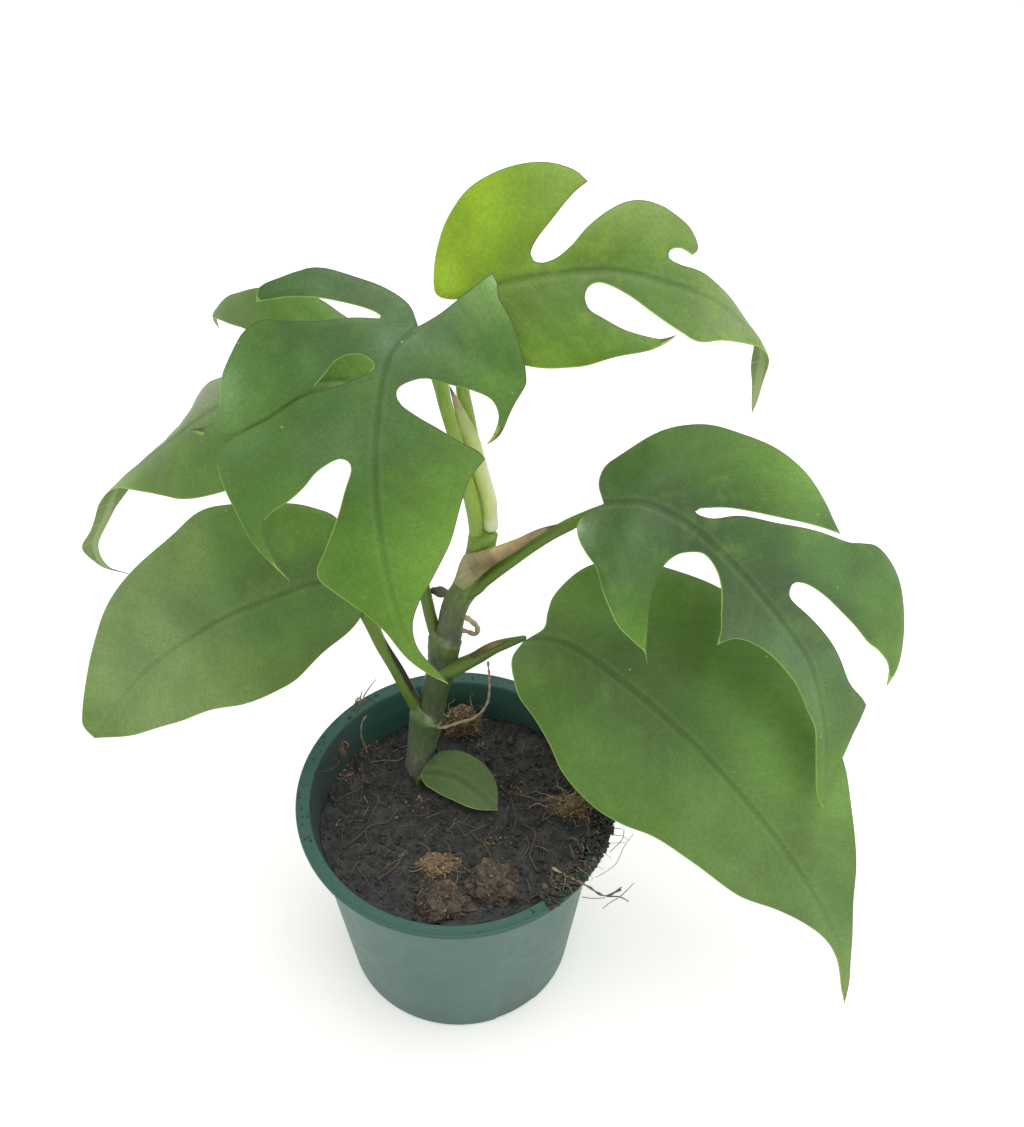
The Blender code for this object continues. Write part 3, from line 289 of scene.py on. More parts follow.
# Free roots: x, y, z, radius. The stem's own roots start inside it.
STEM_ROOTS = {
    "aerial_root_loop": [(0.3, 31, 148, 0.9), (3.1, 32.1, 143.4, 0.9), (5.3, 33.1, 140, 0.9),
                         (7.1, 33.5, 137.1, 0.85), (7.8, 33.4, 134.5, 0.85),
                         (6.9, 33, 132.9, 0.8), (4.9, 32.4, 134.5, 0.75), (2.3, 31.2, 137.2, 0.7),
                         (-0.4, 30.4, 138.6, 0.7)],
    "aerial_root_nub": [(-0.5, 33.5, 151.5, 1.3), (-2.8, 35.3, 151, 1.6),
                        (-4.6, 36.6, 150.2, 1.8), (-6.4, 37.6, 149.6, 1.2)],
    "aerial_root_thread": [(-8.5, 23, 97, 0.7), (-5, 18.7, 100.2, 0.65), (-0.8, 18.4, 102.5, 0.6),
                           (2.9, 18.8, 103.8, 0.55), (6.5, 19.6, 104.8, 0.5),
                           (9.7, 20.6, 108.2, 0.5), (11.2, 21.6, 112.1, 0.5),
                           (11.6, 22.4, 117.4, 0.45), (11.6, 22.9, 123, 0.4),
                           (11.2, 23.3, 130.3, 0.4)],
}
STRAY_ROOTS = {
    "stray_root_right": [(32.6, -27.2, 84.8, 0.6), (36.5, -31, 86.4, 0.6), (40.5, -34, 87.7, 0.6),
                         (44, -36.4, 88.1, 0.5), (47, -38.6, 88, 0.5), (49.8, -40, 88.5, 0.4),
                         (54.2, -38.4, 89.6, 0.4)],
    "stray_root_left": [(-32, 28.5, 71.6, 0.6), (-33.2, 29.3, 77, 0.6), (-33.8, 30.5, 81, 0.5),
                        (-33.4, 32.4, 84.5, 0.5), (-31.8, 33.6, 87, 0.4)],
}
SURFACE_ROOTS = {
    "surface_root_1": [(15, 12), (20, 8), (25, 7), (30, 11)],
    "surface_root_2": [(23, -6), (27, -12), (25, -19), (27, -25)],
    "surface_root_3": [(-42, 8), (-36, 11), (-33, 17), (-34, 24)],
    "surface_root_4": [(-36, -12), (-30, -7), (-24, -3), (-20, 3)],
    "surface_root_5": [(5, -8), (9, -13), (12, -20)],
    "surface_root_6": [(24, -38), (30, -34), (33, -28)],
    "surface_root_7": [(-25, -28), (-19, -22), (-16, -15)],
}


# ---------------------------------------------------------------- colours and nodes
def tone(red, green, blue):
    """sRGB 0-255 as linear RGBA."""
    share = np.array([red, green, blue]) / 255
    low = share / 12.92
    high = ((share + 0.055) / 1.055) ** 2.4
    return (*np.where(share <= 0.04045, low, high).tolist(), 1.0)


def feed(tree, socket, value):
    """Links another socket to this one, or sets it to a plain value."""
    if isinstance(value, bpy.types.NodeSocket):
        tree.links.new(value, socket)
    else:
        socket.default_value = value


def wired(tree, kind, inputs=(), **settings):
    """A new node with its settings made and its inputs fed."""
    made = tree.nodes.new(kind)
    for key, value in settings.items():
        setattr(made, key, value)
    for key, value in dict(inputs).items():
        feed(tree, made.inputs[key], value)
    return made


class Paint:
    """A Principled material and short ways to wire its nodes."""

    def __init__(self, name, roughness, specular=None):
        self.material = bpy.data.materials.new(name)
        self.material.use_nodes = True
        self.tree = self.material.node_tree
        self.shader = self.tree.nodes["Principled BSDF"]
        self.shader.inputs["Roughness"].default_value = roughness
        if specular is not None:
            self.shader.inputs["Specular IOR Level"].default_value = specular

    def node(self, kind, inputs=(), **settings):
        return wired(self.tree, kind, inputs, **settings)

    def attribute(self, name, output="Fac"):
        return self.node("ShaderNodeAttribute", attribute_name=name).outputs[output]

    def math(self, operation, first, second=0.0):
        return self.node("ShaderNodeMath", {0: first, 1: second}, operation=operation).outputs[0]

    def ramp(self, value, start, end, low=0.0, high=1.0):
        """Smooth step of a value from start to end, sent to low and high."""
        made = self.node("ShaderNodeMapRange", {"Value": value, "From Min": start, "From Max": end,
                                                "To Min": low, "To Max": high},
                         interpolation_type="SMOOTHSTEP")
        return made.outputs["Result"]

    def noise(self, scale, detail=2.0, stretch=(1, 1, 1), roughness=0.5):
        where = self.node("ShaderNodeTexCoord").outputs["Object"]
        if stretch != (1, 1, 1):
            where = self.node("ShaderNodeMapping", {"Vector": where, "Scale": stretch}).outputs[0]
        made = self.node("ShaderNodeTexNoise", {"Vector": where, "Scale": scale, "Detail": detail,
                                                "Roughness": roughness})
        return made.outputs["Fac"]

    def mix(self, share, first, second, blend="MIX"):
        made = self.node("ShaderNodeMix", {0: share, 6: first, 7: second}, data_type="RGBA",
                         blend_type=blend)
        return made.outputs[2]

    def over(self, colour, share, strength, added):
        """The colour with an sRGB one laid over it, as strongly as share times strength."""
        return self.mix(self.math("MULTIPLY", share, strength), colour, tone(*added))

    def shaded(self, colour, amount):
        """The colour made lighter or darker by a varying amount."""
        grey = self.node("ShaderNodeCombineColor", {0: amount, 1: amount, 2: amount}).outputs[0]
        return self.mix(1.0, colour, grey, "MULTIPLY")

    def from_vein(self, count=1):
        """0.5 on a side vein down to 0 between two; with a count, for finer veins as well."""
        phase = self.attribute("phase")
        if count > 1:
            phase = self.math("MULTIPLY", phase, count)
        return self.math("ABSOLUTE", self.math("SUBTRACT", self.math("FRACT", phase), 0.5))

    def finish(self, colour, roughness=None, height=None, depth=0.0001):
        """Links what varies over the surface and returns the material."""
        feed(self.tree, self.shader.inputs["Base Color"], colour)
        if roughness is not None:
            feed(self.tree, self.shader.inputs["Roughness"], roughness)
        if height is not None:
            bump = self.node("ShaderNodeBump", {"Height": height, "Distance": depth,
                                                "Strength": 1.0})
            feed(self.tree, self.shader.inputs["Normal"], bump.outputs[0])
        return self.material


# ---------------------------------------------------------------- meshes
def piece(name, verts, faces, materials, nodes, slot, kinds=None, sharp=None, **attributes):
    """A smooth mesh in millimetres that stands for the CAD nodes and rides on the root."""
    data = bpy.data.meshes.new(name)
    data.from_pydata((np.asarray(verts) * MM).tolist(), [], faces)
    for values_name, values in attributes.items():
        values = np.asarray(values, np.float32)
        kind, key = ("FLOAT_COLOR", "color") if values.ndim == 2 else ("FLOAT", "value")
        layer = data.attributes.new(values_name, kind, "POINT")
        layer.data.foreach_set(key, values.ravel())
    for material in materials:
        data.materials.append(material)
    if kinds is not None:
        data.polygons.foreach_set("material_index", np.asarray(kinds, np.int32))
    data.shade_smooth()
    if sharp is not None:
        marks = [frozenset(edge.vertices) in sharp for edge in data.edges]
        layer = data.attributes.new("sharp_edge", "BOOLEAN", "EDGE")
        layer.data.foreach_set("value", marks)
    item = bpy.data.objects.new(name, data)
    bpy.context.scene.collection.objects.link(item)
    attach(item, "root")
    for node in nodes:
        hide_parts(node)


def ripple(points, scale, seed=0.0, octaves=1):
    """Smooth noise between about -1 and 1 at each point."""
    total = np.zeros(len(points))
    for octave in range(octaves):
        step = scale * 2 ** octave
        found = [noise.noise((x * step + seed, y * step, z * step)) for x, y, z in points]
        total += np.array(found) * 0.5 ** octave
    return total


def smooth_path(points, spans):
    """Catmull-Rom curve through the points, spans steps between each pair."""
    knots = np.asarray(points, float)
    knots = np.vstack([2 * knots[0] - knots[1], knots, 2 * knots[-1] - knots[-2]])
    parts = []
    for i in range(1, len(knots) - 2):
        a, b, c, d = knots[i - 1:i + 3]
        t = (np.arange(spans) / spans)[:, None]
        parts.append(0.5 * (2 * b + (c - a) * t + (2 * a - 5 * b + 4 * c - d) * t ** 2
                            + (3 * b - a - 3 * c + d) * t ** 3))
    parts.append(knots[-2:-1])
    return np.vstack(parts)


def even_path(points, step):
    """The smooth curve again, at even steps along its length."""
    fine = smooth_path(points, 24)
    run = np.concatenate([[0], np.cumsum(np.linalg.norm(np.diff(fine[:, :3], axis=0), axis=1))])
    count = max(3, int(run[-1] / step) + 1)
    at = np.linspace(0, run[-1], count)
    return np.stack([np.interp(at, run, fine[:, k]) for k in range(4)], -1), at


def tube(points, step, sides, relief=None, dome=1.0):
    """Closed round skin along x, y, z, radius points, with domed ends.

    Returns vertices, faces, and the run and angle of each vertex. relief(run, angle) is a
    length in millimetres added to the radius.
    """
    path, run = even_path(points, step)
    centre, radius = path[:, :3], path[:, 3]
    heading = np.gradient(centre, axis=0)
    heading /= np.linalg.norm(heading, axis=1, keepdims=True)
    start = heading[0]
    normal = np.cross(start, (0, 0, 1) if abs(start[2]) < 0.8 else (1, 0, 0))
    normals = []
    for way in heading:
        normal = normal - way * (way @ normal)
        normal = normal / np.linalg.norm(normal)
        normals.append(normal)
    normals = np.array(normals)
    others = np.cross(heading, normals)
    steps = [(-0.75 * dome, 0.66), (-0.4 * dome, 0.92)]
    rows = [(0, shift, share) for shift, share in steps]
    rows += [(k, 0, 1) for k in range(len(path))]
    rows += [(len(path) - 1, -shift, share) for shift, share in reversed(steps)]
    angle = np.arange(sides) * 2 * math.pi / sides
    verts, runs, angles = [], [], []
    for k, shift, share in rows:
        size = radius[k] * share
        if relief is not None:
            size = size + share * relief(run[k], angle)
        size = np.broadcast_to(size, angle.shape)
        middle = centre[k] + heading[k] * radius[k] * shift
        ring = middle + (np.cos(angle) * size)[:, None] * normals[k]
        verts.append(ring + (np.sin(angle) * size)[:, None] * others[k])
        runs += [run[k]] * sides
        angles += angle.tolist()
    verts = np.vstack(verts)
    count = len(rows)
    faces = []
    for k in range(count - 1):
        for n in range(sides):
            m = (n + 1) % sides
            faces.append((k * sides + n, k * sides + m, (k + 1) * sides + m, (k + 1) * sides + n))
    first = centre[0] - heading[0] * radius[0] * dome
    last = centre[-1] + heading[-1] * radius[-1] * dome
    verts = np.vstack([verts, first, last])
    runs += [run[0], run[-1]]
    angles += [0, 0]
    low, high = len(verts) - 2, len(verts) - 1
    for n in range(sides):
        m = (n + 1) % sides
        faces.append((low, m, n))
        faces.append((high, (count - 1) * sides + n, (count - 1) * sides + m))
    return verts, faces, np.array(runs), np.array(angles)


def joined(parts):
    """Several (vertices, faces, value) pieces as one, with the value of each vertex."""
    verts, faces, values = [], [], []
    start = 0
    for points, polygons, value in parts:
        verts.append(points)
        faces += [tuple(start + v for v in polygon) for polygon in polygons]
        values.append(np.full(len(points), value, float))
        start += len(points)
    return np.vstack(verts), faces, np.concatenate(values)


def blended(stops, share):
    """Colours between (share, colour) stops, one row for each share."""
    where = [stop[0] for stop in stops]
    colours = np.array([tone(*stop[1]) for stop in stops])
    return np.stack([np.interp(share, where, colours[:, k]) for k in range(4)], -1)


# ---------------------------------------------------------------- leaf blades
def profile(values, t):
    return np.interp(t, np.linspace(0, 1, len(values)), values)


class Blade:
    """Maps (along, across) millimetres of a flat leaf to its place in space."""

    def __init__(self, leaf):
        self.leaf = leaf
        self.rib = smooth_path(leaf["midrib"], 40)
        steps = np.linalg.norm(np.diff(self.rib, axis=0), axis=1)
        self.run = np.concatenate([[0], np.cumsum(steps)])
        self.length = self.run[-1]
        self.reach = leaf.get("chord", 0.18) * self.length
        self.side = np.array(leaf["side"], float) / np.linalg.norm(leaf["side"])

    def rib_point(self, along):
        inside = np.clip(along, 0, self.length)
        return np.stack([np.interp(inside, self.run, self.rib[:, k]) for k in range(3)], -1)

    def rib_extended(self, along):
        ends = self.rib_point(np.array([0, self.reach, self.length - 0.3 * self.reach, self.length]))
        first = (ends[1] - ends[0]) / np.linalg.norm(ends[1] - ends[0])
        last = (ends[3] - ends[2]) / np.linalg.norm(ends[3] - ends[2])
        before = np.clip(-along, 0, None)[..., None]
        after = np.clip(along - self.length, 0, None)[..., None]
        return self.rib_point(along) - first * before + last * after

    def frame(self, along):
        """Rib point, forward, right and up directions."""
        forward = self.rib_extended(along + self.reach) - self.rib_extended(along - self.reach)
        forward /= np.linalg.norm(forward, axis=-1, keepdims=True)
        right = self.side - (forward @ self.side)[..., None] * forward
        right /= np.linalg.norm(right, axis=-1, keepdims=True)
        up = np.cross(right, forward)
        share = np.clip(along / self.length, 0, 1)
        roll = np.radians(profile(self.leaf.get("roll", (0, 0)), share))[..., None]
        turned = right * np.cos(roll) + up * np.sin(roll)
        return self.rib_extended(along), forward, turned, up * np.cos(roll) - right * np.sin(roll)

    def shape(self, kind, share, on_right, usual):
        right = profile(self.leaf.get(kind + "_right", usual), share)
        left = profile(self.leaf.get(kind + "_left", usual), share)
        return np.radians(np.where(on_right, right, left))

    def place(self, along, across):
        along = np.asarray(along, float)
        across = np.asarray(across, float)
        rib, _, right, up = self.frame(along)
        share = np.clip(along / self.length, 0, 1)
        fold = self.shape("fold", share, across >= 0, (8, 8))
        curl = np.maximum(self.shape("curl", share, across >= 0, (0.5, 0.5)), 1e-6)
        width = np.abs(across)
        outwards = (np.sin(fold) - np.sin(fold - curl * width)) / curl
        upwards = (np.cos(fold - curl * width) - np.cos(fold)) / curl
        return rib + right * (np.sign(across) * outwards)[..., None] + up * upwards[..., None]

    def normal(self, along, across):
        """Direction away from the upper face."""
        small = 0.05
        here = self.place(along, across)
        ahead = self.place(along + small, across) - here
        aside = np.where(across >= 0, small, -small)
        beside = (self.place(along, across + aside) - here) * np.sign(aside)[:, None]
        found = np.cross(beside, ahead)
        return found / np.linalg.norm(found, axis=1, keepdims=True)


def smooth_outline(points, step):
    """Closed loop through the outline's points, smooth except at its marked corners."""
    flat = [(p[0], p[1]) for p in points]
    corners = [i for i, p in enumerate(points) if len(p) == 3]
    loop = []
    for here, after in zip(corners, corners[1:] + [corners[0] + len(flat)]):
        knots = [flat[i % len(flat)] for i in range(here, after + 1)]
        fine = smooth_path(knots, FINE)
        for k in range(len(knots) - 1):
            stretch = fine[k * FINE:k * FINE + FINE + 1]
            run = np.linalg.norm(np.diff(stretch, axis=0), axis=1).sum()
            count = max(1, round(run / step))
            loop.extend(tuple(stretch[round(FINE * n / count)]) for n in range(count))
    return loop


def edge_distance(points, loop):
    """Distance from each point to the loop, which stretch is nearest, and whether it is inside."""
    edge = np.array(loop)
    after = np.roll(edge, -1, axis=0)
    span = after - edge
    offset = points[:, None, :] - edge[None]
    t = np.clip((offset * span).sum(-1) / (span ** 2).sum(-1), 0, 1)
    off = np.linalg.norm(offset - t[..., None] * span, axis=-1)
    high = edge[None, :, 1] > points[:, 1:]
    crossing = high != (after[None, :, 1] > points[:, 1:])
    rise = np.where(np.abs(span[:, 1]) < 1e-9, 1e-9, span[:, 1])
    at = edge[:, 0] + (points[:, 1:] - edge[:, 1]) / rise * span[:, 0]
    odd = np.count_nonzero(crossing & (points[:, :1] < at), axis=1) % 2 == 1
    return off.min(axis=1), off.argmin(axis=1), odd


def blade_grid(loop, grid):
    """Points inside the loop in rows along the midrib, closer together near it."""
    edge = np.array(loop)
    low, high = edge.min(axis=0), edge.max(axis=0)
    near = [0.5, 1.1, 1.9]
    far = np.arange(near[-1] + grid, max(-low[1], high[1]), grid)
    rows = [0.0] + near + [-w for w in near] + far.tolist() + (-far).tolist()
    points = []
    for number, row in enumerate(rows):
        shift = grid * (0.25 if number % 2 else 0.75)
        along = np.arange(low[0] + shift, high[0], grid)
        points.append(np.stack([along, np.full(len(along), row)], -1))
    points = np.vstack(points)
    off, _, inside = edge_distance(points, loop)
    clear = np.where(np.abs(points[:, 1]) < 2, 0.25, 0.5) * grid
    return points[inside & (off > clear)]


def flat_mesh(loop, inner):
    """Triangles over a closed loop and the points inside it: flat points and faces."""
    count = len(loop)
    flat = [Vector(p) for p in loop] + [Vector(p) for p in inner]
    edges = [(i, (i + 1) % count) for i in range(count)]
    verts, _, faces, _, _, _ = delaunay_2d_cdt(flat, edges, [], 1, 0.00001)
    return np.array([tuple(v) for v in verts]), faces


def two_skins(flat, faces):
    """Upper and lower faces with a side between them, the kind of each, and the border's edges."""
    total = len(flat)
    skins, kinds, sides = [], [], {}
    for face in faces:
        a, b, c = flat[face[0]], flat[face[1]], flat[face[2]]
        turn = (b[0] - a[0]) * (c[1] - a[1]) - (b[1] - a[1]) * (c[0] - a[0])
        upper = tuple(face) if turn < 0 else tuple(reversed(face))
        skins += [upper, tuple(total + v for v in reversed(upper))]
        kinds += [0, 1]
        for pair in zip(upper, upper[1:] + upper[:1]):
            sides[pair] = True
    border = [pair for pair in sides if pair[::-1] not in sides]
    for here, after in border:
        skins.append((after, here, total + here, total + after))
        kinds.append(2)
    return skins, kinds, border


def vein_phase(along, across, veins):
    """How many side veins lie before a point: a whole number on each vein."""
    spacing, lean, bend = veins
    width = np.abs(across)
    warp = [1.3 * noise.noise((a * 0.045, w * 0.045, 3.7)) for a, w in zip(along, across)]
    return (along - lean * width - bend * width ** 2 + np.array(warp)) / spacing


def leaf_tint(look, along, across):
    """Colour at each point, blended from the tones set over the leaf, which hold painted sheen and painted
    shade besides the leaf's own colours; spots go on top and lift scales it all.
    """
    spots = np.array([spot[:2] for spot in look["tones"]], float)
    colours = np.array([tone(*spot[2]) for spot in look["tones"]])
    off = (along[:, None] - spots[:, 0]) ** 2 + (across[:, None] - spots[:, 1]) ** 2
    off -= off.min(axis=1, keepdims=True)
    weight = np.exp(-off / (2 * look["blend"] ** 2))
    found = weight @ colours / weight.sum(axis=1, keepdims=True)
    for a, w, reach, colour in look.get("spots", []):
        mask = np.exp(-((along - a) ** 2 + (across - w) ** 2) / reach ** 2)[:, None]
        found = found * (1 - mask) + np.array(tone(*colour)) * mask
    return found * np.array([*look["lift"], 1.0])


def leaf_piece(name, leaf, look, nodes, slot, materials):
    """Leaf with two skins, a sunken midrib, quilting between its side veins and a fine margin."""
    blade = Blade(leaf)
    loop = smooth_outline(leaf["outline"], look["step"])
    flat, faces = flat_mesh(loop, blade_grid(loop, look["grid"]))
    along, across = flat[:, 0], flat[:, 1]
    off, nearest, _ = edge_distance(flat, loop)
    phase = vein_phase(along, across, look["veins"])
    share = np.clip(along / blade.length, 0, 1)
    width = np.abs(across)
    inner = np.clip(off / 4, 0, 1)
    away = np.clip(width / 3, 0, 1)
    swell = look["quilt"] * (np.sin(math.pi * (phase % 1)) ** 0.7 - 0.5) * inner * away
    wave = ripple(np.stack([along, across, np.zeros(len(along))], -1), 0.045, look["seed"])
    relief = swell + look["wave"] * wave * np.clip(width / 6, 0, 1) - 0.3 * np.exp(-off / 1.2)
    groove = 0.28 * np.exp(-(width / 0.9) ** 2) * (1 - 0.8 * share)
    rib = (0.9 * (1 - share) + 0.15) * np.exp(-(width / 1.1) ** 2) * np.clip(off / 1.5, 0, 1)
    half = look["thickness"] / 2 * (0.55 + 0.45 * np.clip(off / 0.8, 0, 1))
    middle = blade.place(along, across)
    normal = blade.normal(along, across)
    top = middle + normal * (half + relief - groove)[:, None]
    under = middle - normal * (half - relief + rib)[:, None]
    total = len(flat)
    skins, kinds, border = two_skins(flat, faces)
    sharp = {frozenset(pair) for pair in border}
    sharp |= {frozenset((total + here, total + after)) for here, after in border}
    edge = np.array(loop)
    heading = np.roll(edge, -1, axis=0) - edge
    outward = np.stack([heading[:, 1], -heading[:, 0]], -1)
    turn = (edge[:, 0] * np.roll(edge[:, 1], -1) - edge[:, 1] * np.roll(edge[:, 0], -1)).sum()
    outward *= math.copysign(1, turn) / np.linalg.norm(heading, axis=1, keepdims=True)
    sample = blade.place(edge[:, 0], edge[:, 1])
    inward = blade.place(*(edge - 0.5 * outward).T)
    world = (sample - inward) / 0.5
    rim = (world @ np.array(FAR_WAY))[nearest]
    # the slit where two lobes touch: the pale margin is dropped and the margin's side takes the far edge's
    # dark colour, a painted shade in the crease
    for a, w, reach in look.get("crease_shade", []):
        hidden = np.exp(-((along - a) ** 2 + (across - w) ** 2) / reach ** 2)
        off = off + 2 * hidden
        rim = rim + 2 * hidden
    tint = leaf_tint(look, along, across)
    both = np.concatenate
    piece(name, np.vstack([top, under]), skins, materials, nodes, slot, kinds, sharp,
          along=both([share, share]), across=both([across, across]), phase=both([phase, phase]),
          edge=both([off, off]), rim=both([rim, rim]), tint=both([tint, tint]))


def margin_colour(paint, look):
    """The far edge's dark colour, painted shade, where the margin faces FAR_WAY; else the near edge's pale
    colour, the margin's own colour with painted light.
    """
    near = paint.ramp(paint.attribute("rim"), 0.15, -0.15)
    return paint.mix(near, tone(*look["far_edge_shade"]), tone(*look["near_edge"]))


def leaf_top(name, look):
    """Upper face: mottled green with painted sheen and shade in its tint, fine veins, a dark midrib line of
    painted shade, specks and a thin margin, painted lighter or darker by which way it faces.
    """
    paint = Paint(name, 0.42, look["shine"])
    width = paint.math("ABSOLUTE", paint.attribute("across"))
    broad = paint.noise(55, 3)
    fine = paint.noise(900, 3, roughness=0.65)
    blotch = paint.ramp(paint.noise(95, 3, roughness=0.6), 0.52, 0.72, 0, 0.22)
    colour = paint.mix(blotch, paint.attribute("tint", "Color"), tone(*look["warm"]))
    colour = paint.shaded(colour, paint.ramp(broad, 0.3, 0.7, 0.88, 1.12))
    # side veins: a thin darker line with a paler shoulder, then finer ones between
    line = paint.from_vein()
    vein = paint.ramp(line, 0.44, 0.49)
    shoulder = paint.math("SUBTRACT", paint.ramp(line, 0.34, 0.44), vein)
    colour = paint.over(colour, vein, look["vein"], look["line"])
    colour = paint.over(colour, shoulder, 0.05, look["pale"])
    thin = paint.ramp(paint.from_vein(FINER_VEINS), 0.32, 0.48)
    colour = paint.over(colour, thin, 0.04, look["line"])
    # midrib: paler shoulders beside the groove and a dark line in it, painted shade that deepens the groove's
    # relief
    band = paint.math("MULTIPLY", paint.ramp(width, 3.0, 1.6), paint.ramp(width, 0.9, 1.6))
    colour = paint.over(colour, band, look["band"], look["pale"])
    fade = paint.ramp(paint.attribute("along"), 0.45, 0.95, 0.3, 0.06)
    colour = paint.over(colour, paint.ramp(width, 1.3, 0.15), fade, look["rib"])
    colour = paint.shaded(colour, paint.ramp(fine, 0.3, 0.75, 0.9, 1.12))
    # pale specks in a few of the cells, then small dark dots
    where = paint.node("ShaderNodeTexCoord").outputs["Object"]
    speck = paint.node("ShaderNodeTexVoronoi", {"Vector": where, "Scale": 260.0})
    small = paint.ramp(speck.outputs["Distance"], 0.11, 0.05)
    cell = paint.node("ShaderNodeSeparateColor", {0: speck.outputs["Color"]}).outputs[0]
    chosen = paint.math("MULTIPLY", paint.ramp(cell, 0.955, 0.97), 0.7)
    colour = paint.over(colour, small, chosen, (176, 190, 140))
    colour = paint.over(colour, paint.ramp(paint.noise(1400, 1), 0.74, 0.8), 0.3, (58, 70, 34))
    uneven = paint.ramp(broad, 0.3, 0.6, 0.4, 0.9)
    border = paint.math("MULTIPLY", paint.ramp(paint.attribute("edge"), 0.36, 0.12), uneven)
    colour = paint.mix(border, colour, margin_colour(paint, look))
    gloss = paint.ramp(paint.noise(160, 3), 0.3, 0.7, look["gloss"] - 0.05, look["gloss"] + 0.08)
    height = paint.math("ADD", paint.math("MULTIPLY", fine, 0.5), paint.math("MULTIPLY", thin, -0.2))
    return paint.finish(colour, gloss, height, 0.00006)


def leaf_under(name, look):
    """Lower face: paler and matt, with its veins showing."""
    paint = Paint(name, 0.62)
    line = paint.from_vein()
    colour = paint.mix(paint.ramp(paint.noise(70, 4), 0.3, 0.7), tone(*look["under"]),
                       tone(*look["under_bright"]))
    finer = paint.ramp(paint.from_vein(FINER_VEINS), 0.3, 0.48, 0, 0.14)
    colour = paint.mix(finer, colour, tone(*look["deep"]))
    beside = paint.math("SUBTRACT", paint.ramp(line, 0.3, 0.42), paint.ramp(line, 0.43, 0.47))
    colour = paint.over(colour, beside, 0.16, look["deep"])
    colour = paint.mix(paint.ramp(line, 0.43, 0.48, 0, 0.6), colour, tone(*look["rib_under"]))
    width = paint.math("ABSOLUTE", paint.attribute("across"))
    colour = paint.mix(paint.ramp(width, 1.4, 0.8, 0, 0.8), colour, tone(*look["rib_under"]))
    return paint.finish(colour, None, paint.noise(900, 2), 0.00008)


def leaf_rim(name, look):
    """The thin side face of the margin."""
    paint = Paint(name, 0.6)
    shade = paint.ramp(paint.noise(70, 2), 0.3, 0.7, 0.0, 0.3)
    return paint.finish(paint.mix(shade, margin_colour(paint, look), tone(*look["deep"])))


def leaf_materials(number, look):
    return [leaf_top("leaf_%s_top" % number, look), leaf_under("leaf_%s_under" % number, look),
            leaf_rim("leaf_%s_rim" % number, look)]


# Colours and relief that the leaves share unless their own table says otherwise.
LEAF_LOOK = {
    "step": 1.5, "grid": 1.3, "thickness": 0.5, "seed": 1.0, "veins": (8.5, 0.62, 0.006),
    "quilt": 0.28, "wave": 0.8, "vein": 0.07, "band": 0.14, "gloss": 0.44, "shine": 0.3,
    "blend": 7.5, "deep": (76, 108, 46), "line": (58, 88, 36), "pale": (122, 150, 92),
    "rib": (48, 70, 32), "under": (120, 147, 86), "under_bright": (146, 168, 106),
    "rib_under": (162, 182, 122), "near_edge": (156, 186, 86), "far_edge_shade": (78, 80, 56),
}
